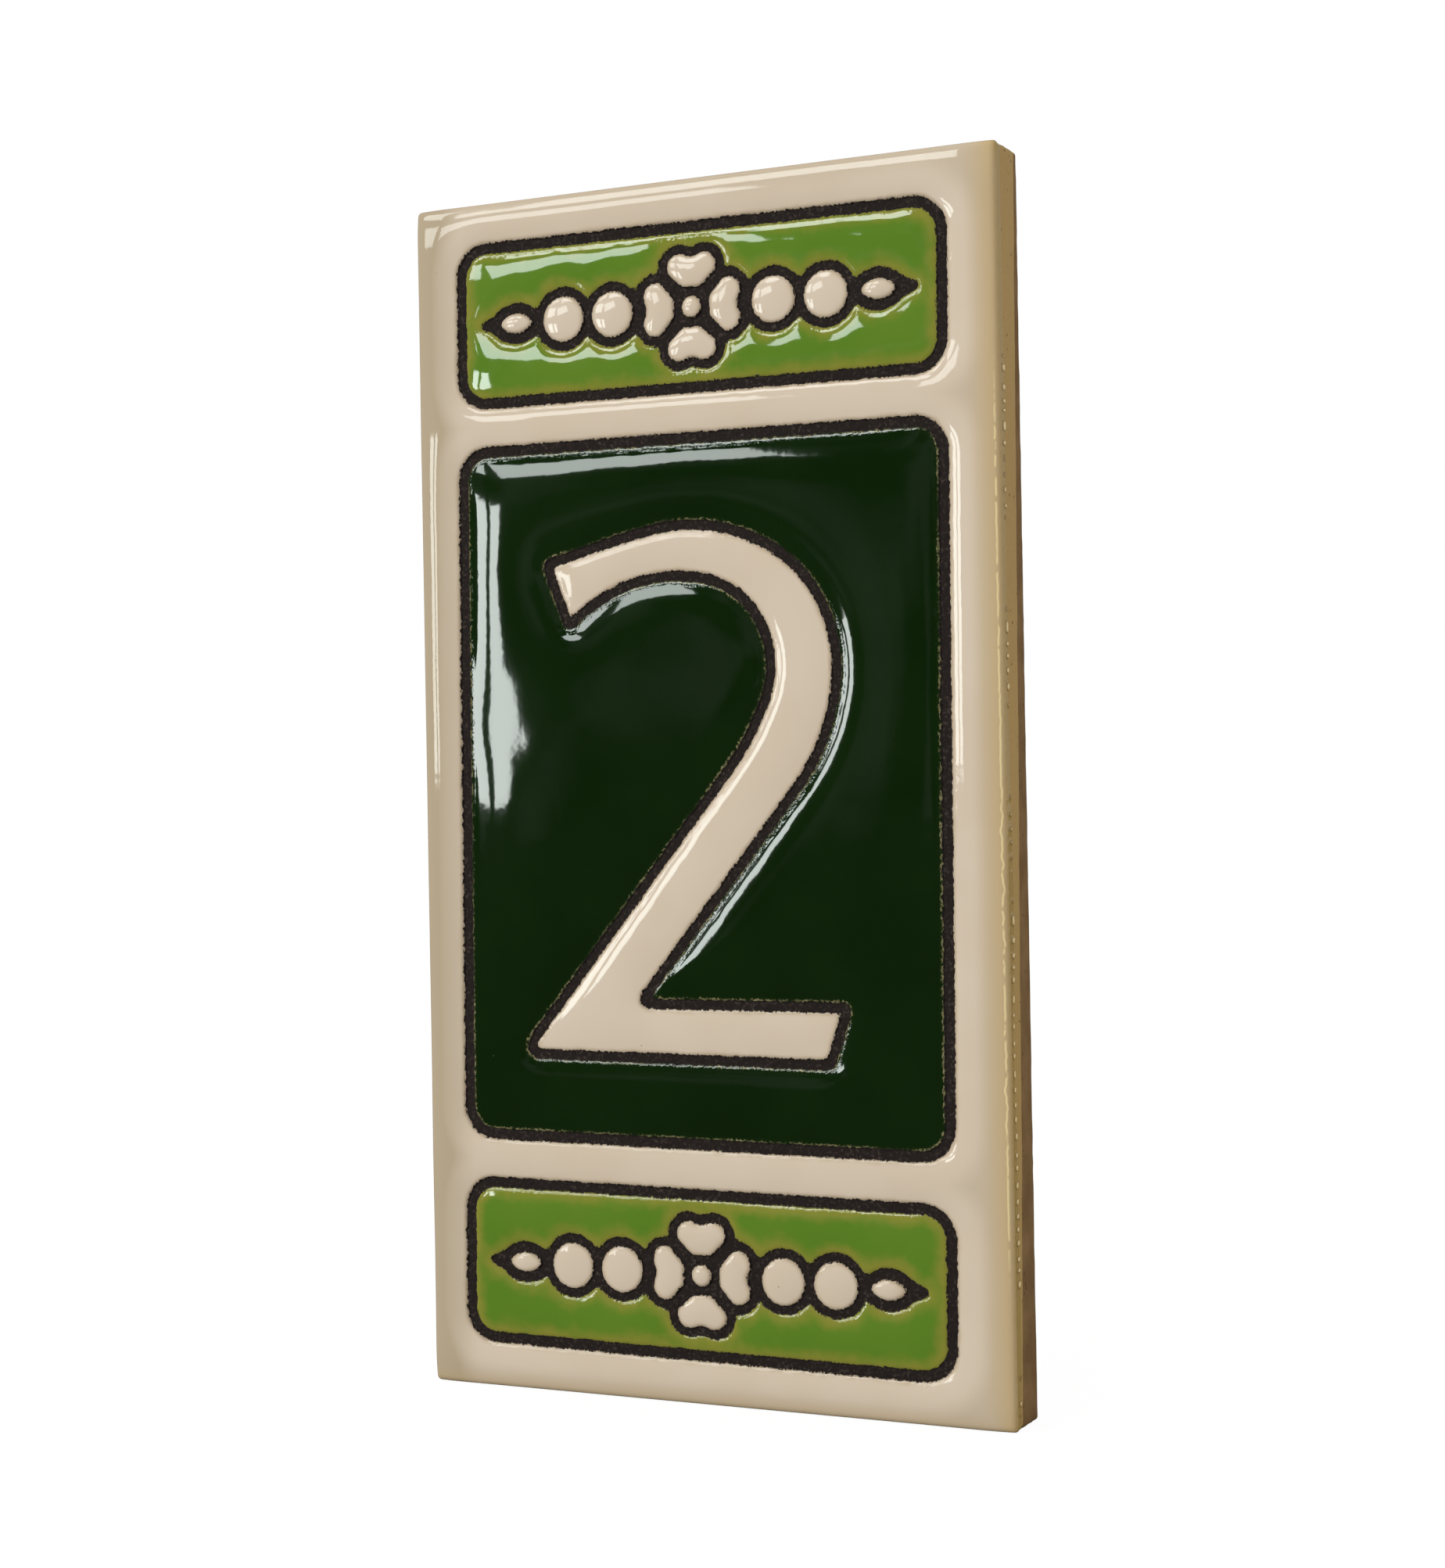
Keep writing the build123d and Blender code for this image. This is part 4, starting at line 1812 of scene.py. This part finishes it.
@dataclass
class Studio:
    """Pale floor, a window on the left, soft surroundings and the camera."""

    box: tuple[Vector, Vector]
    floor_size: float = 6.0
    floor_grey: float = 0.5
    floor_white: float = 1.14
    floor_white_share: float = 0.82
    floor_mirror: float = 2.0
    target: tuple[float, float] = (2.291, 0.572)
    azimuth: float = math.radians(25.424)
    elevation: float = math.radians(-0.132)
    roll: float = math.radians(-0.985)
    distance: float = 224.12
    lens: float = 60.64
    sensor: float = 36.0
    nearest: float = 0.01
    window_distance: float = 3.0
    window_middle: float = -38.0
    panes: tuple[Pane, ...] = (
        Pane((-43.7, -38.3), (0.35, 8.0), 10.5),
        Pane((-36.6, -33.5), (0.35, 8.0), 10.5),
        Pane((-46.0, -36.6), (13.2, 19.8), 7.5),
        Pane((-34.4, -25.0), (14.4, 20.2), 7.0, 20.0),
        Pane((-50.0, -36.6), (24.0, 37.0), 8.0),
        Pane((-34.4, -21.0), (25.5, 38.0), 8.0, 12.0),
    )
    window_power: float = 4.0
    window_tint: Colour = (0.93, 1.0, 0.96)
    ambient: float = 0.79
    lean: tuple[float, float] = (-0.08, 0.08)
    room: float = 0.012
    room_glow: float = 0.13
    glow_scale: float = 9.0
    glow_span: Span = (0.42, 0.68)
    backdrop: float = 0.3
    backdrop_span: Span = (0.1, 0.6)

    def build(self) -> None:
        """Sets up the floor, the lights, the world and the camera."""
        self.lay_floor()
        self.hang_window()
        self.paint_world()
        self.place_camera()
        bpy.context.scene.view_settings.view_transform = "Standard"

    def lay_floor(self) -> None:
        """Lays the pale floor that the tile stands on."""
        half, level = self.floor_size / 2, self.box[0].z
        corners = [(-half, -half, level), (half, -half, level), (half, half, level), (-half, half, level)]
        mesh = bpy.data.meshes.new("floor")
        mesh.from_pydata(corners, [], [(0, 1, 2, 3)])
        material, graph = start_material("pale_floor")
        path = graph.add("ShaderNodeLightPath")
        seen = graph.signal(path, "Is Camera Ray") * self.floor_white_share
        mirrored = graph.signal(path, "Is Glossy Ray")
        matte = graph.add("ShaderNodeBsdfDiffuse", {}, {"Color": (self.floor_grey,) * 3})
        white, dim = graph.glow(self.floor_white), graph.glow(self.floor_mirror * self.room)
        pale = graph.add("ShaderNodeMixShader", {}, {0: seen, 1: matte.outputs[0], 2: white})
        mixed = graph.add("ShaderNodeMixShader", {}, {0: mirrored, 1: pale.outputs[0], 2: dim})
        graph.add("ShaderNodeOutputMaterial", {}, {"Surface": mixed.outputs[0]})
        mesh.materials.append(material)
        floor = bpy.data.objects.new("floor", mesh)
        bpy.context.scene.collection.objects.link(floor)

    def hang_window(self) -> None:
        """Hangs one area lamp for each pane of the window."""
        for number, pane in enumerate(self.panes, 1):
            self.hang_pane(f"pane_{number}", pane)

    def hang_pane(self, name: str, pane: Pane) -> None:
        """Hangs one pane, in the upright plane of the window.

        Args:
            name: The lamp's name.
            pane: Where it is and how bright.
        """
        facing = math.radians(self.window_middle)
        sides = [math.tan(math.radians(a) - facing) * self.window_distance for a in pane.across]
        edges = [math.tan(math.radians(a)) * self.window_distance for a in pane.up]
        width, height = sides[1] - sides[0], edges[1] - edges[0]
        lamp = bpy.data.lights.new(name, "AREA")
        lamp.shape = "RECTANGLE"
        lamp.size, lamp.size_y = width, height
        lamp.energy = pane.light * self.window_power * width * height
        lamp.color = self.window_tint
        stand = bpy.data.objects.new(name, lamp)
        ahead = Vector((math.sin(facing), -math.cos(facing), 0))
        side = Vector((math.cos(facing), math.sin(facing), 0))
        place = ahead * self.window_distance + side * (sum(sides) / 2) + Vector((0, 0, sum(edges) / 2))
        stand.matrix_world = self.facing_back(place, ahead, math.radians(pane.turn))
        bpy.context.scene.collection.objects.link(stand)

    @staticmethod
    def facing_back(place: Vector, away: Vector, roll: float) -> Matrix:
        """Stands something at a place so that it looks back against a direction.

        Args:
            place: Where it stands.
            away: Direction from what it looks at.
            roll: Turn about that direction.

        Returns:
            Its matrix.
        """
        turn = away.to_track_quat("Z", "Y").to_matrix().to_4x4() @ Matrix.Rotation(roll, 4, "Z")
        return Matrix.Translation(place) @ turn

    def paint_world(self) -> None:
        """Paints white behind the tile, a dim room before it and soft light all round."""
        world = bpy.data.worlds.new("studio")
        world.use_nodes = True
        graph = Graph(world.node_tree)
        path = graph.add("ShaderNodeLightPath")
        camera, glossy = graph.signal(path, "Is Camera Ray"), graph.signal(path, "Is Glossy Ray")
        glossy = glossy.math("MAXIMUM", glossy, graph.signal(path, "Is Transmission Ray"))
        direction = graph.add("ShaderNodeTexCoord").outputs["Generated"]
        x, y, z = graph.split(direction)
        pattern = {"Vector": direction, "Scale": self.glow_scale, "Detail": SMOOTH}
        glow = graph.signal(graph.add("ShaderNodeTexNoise", {}, pattern), 0)
        dim = self.room + self.room_glow * glow.ramp(*self.glow_span)
        mirrored = dim + (self.backdrop - dim) * y.ramp(*self.backdrop_span)
        lean = 1 + self.lean[0] * x + self.lean[1] * z
        soft = glossy * mirrored + (1 - glossy) * self.ambient * lean
        strength = camera + (1 - camera) * soft
        shader = graph.add("ShaderNodeBackground", {}, {"Color": WHITE, "Strength": strength})
        graph.add("ShaderNodeOutputWorld", {}, {"Surface": shader.outputs[0]})
        bpy.context.scene.world = world

    def place_camera(self) -> None:
        """Stands the camera where the photograph was taken from."""
        camera = bpy.data.cameras.new("camera")
        camera.sensor_width = self.sensor
        camera.lens = self.lens
        camera.clip_start = self.nearest
        away = Vector((math.sin(self.azimuth) * math.cos(self.elevation),
                       -math.cos(self.azimuth) * math.cos(self.elevation), math.sin(self.elevation)))
        target = Vector((self.target[0] * MM, self.box[0].y, self.target[1] * MM))
        stand = bpy.data.objects.new("camera", camera)
        stand.matrix_world = self.facing_back(target + away * self.distance * MM, away, self.roll)
        bpy.context.scene.collection.objects.link(stand)
        bpy.context.scene.camera = stand


def main() -> None:
    """Builds the tile's pieces, then the studio."""
    logging.basicConfig(level=logging.INFO, format="%(message)s")
    cream, border = CREAM_GLAZE.make(), BORDER_GLAZE.make()
    dark, light = DARK_GREEN_GLAZE.make(), LIGHT_GREEN_GLAZE.make()
    drawing = Drawing()
    relief = Relief(drawing, Plate(drawing))
    relief.prepare()
    ClayBody(ClayFinish().make(cad_box), drawing).build()
    DryLines(LineFinish().make()).build(relief)
    CreamBorder(border).build(relief)
    cell = (cream, Slot.CREAM, CELL_MENISCUS)
    band = (light, Slot.LIGHT_GREEN, BAND_MENISCUS)
    kinds = {
        "number_field": (dark, Slot.DARK_GREEN, NUMBER_MENISCUS),
        "numeral": (cream, Slot.CREAM, NUMERAL_MENISCUS),
        "top_field": band,
        "bottom_field": band,
    }
    for number, name in enumerate(n for n in relief.pools if n != "border"):
        seed = GlazePool.FIRST_SEED + GlazePool.SEEDS_A_POOL * number
        GlazePool(name, *kinds.get(name, cell)).build(relief, seed)
    Studio(cad_box).build()


if __name__ == "__main__":
    main()
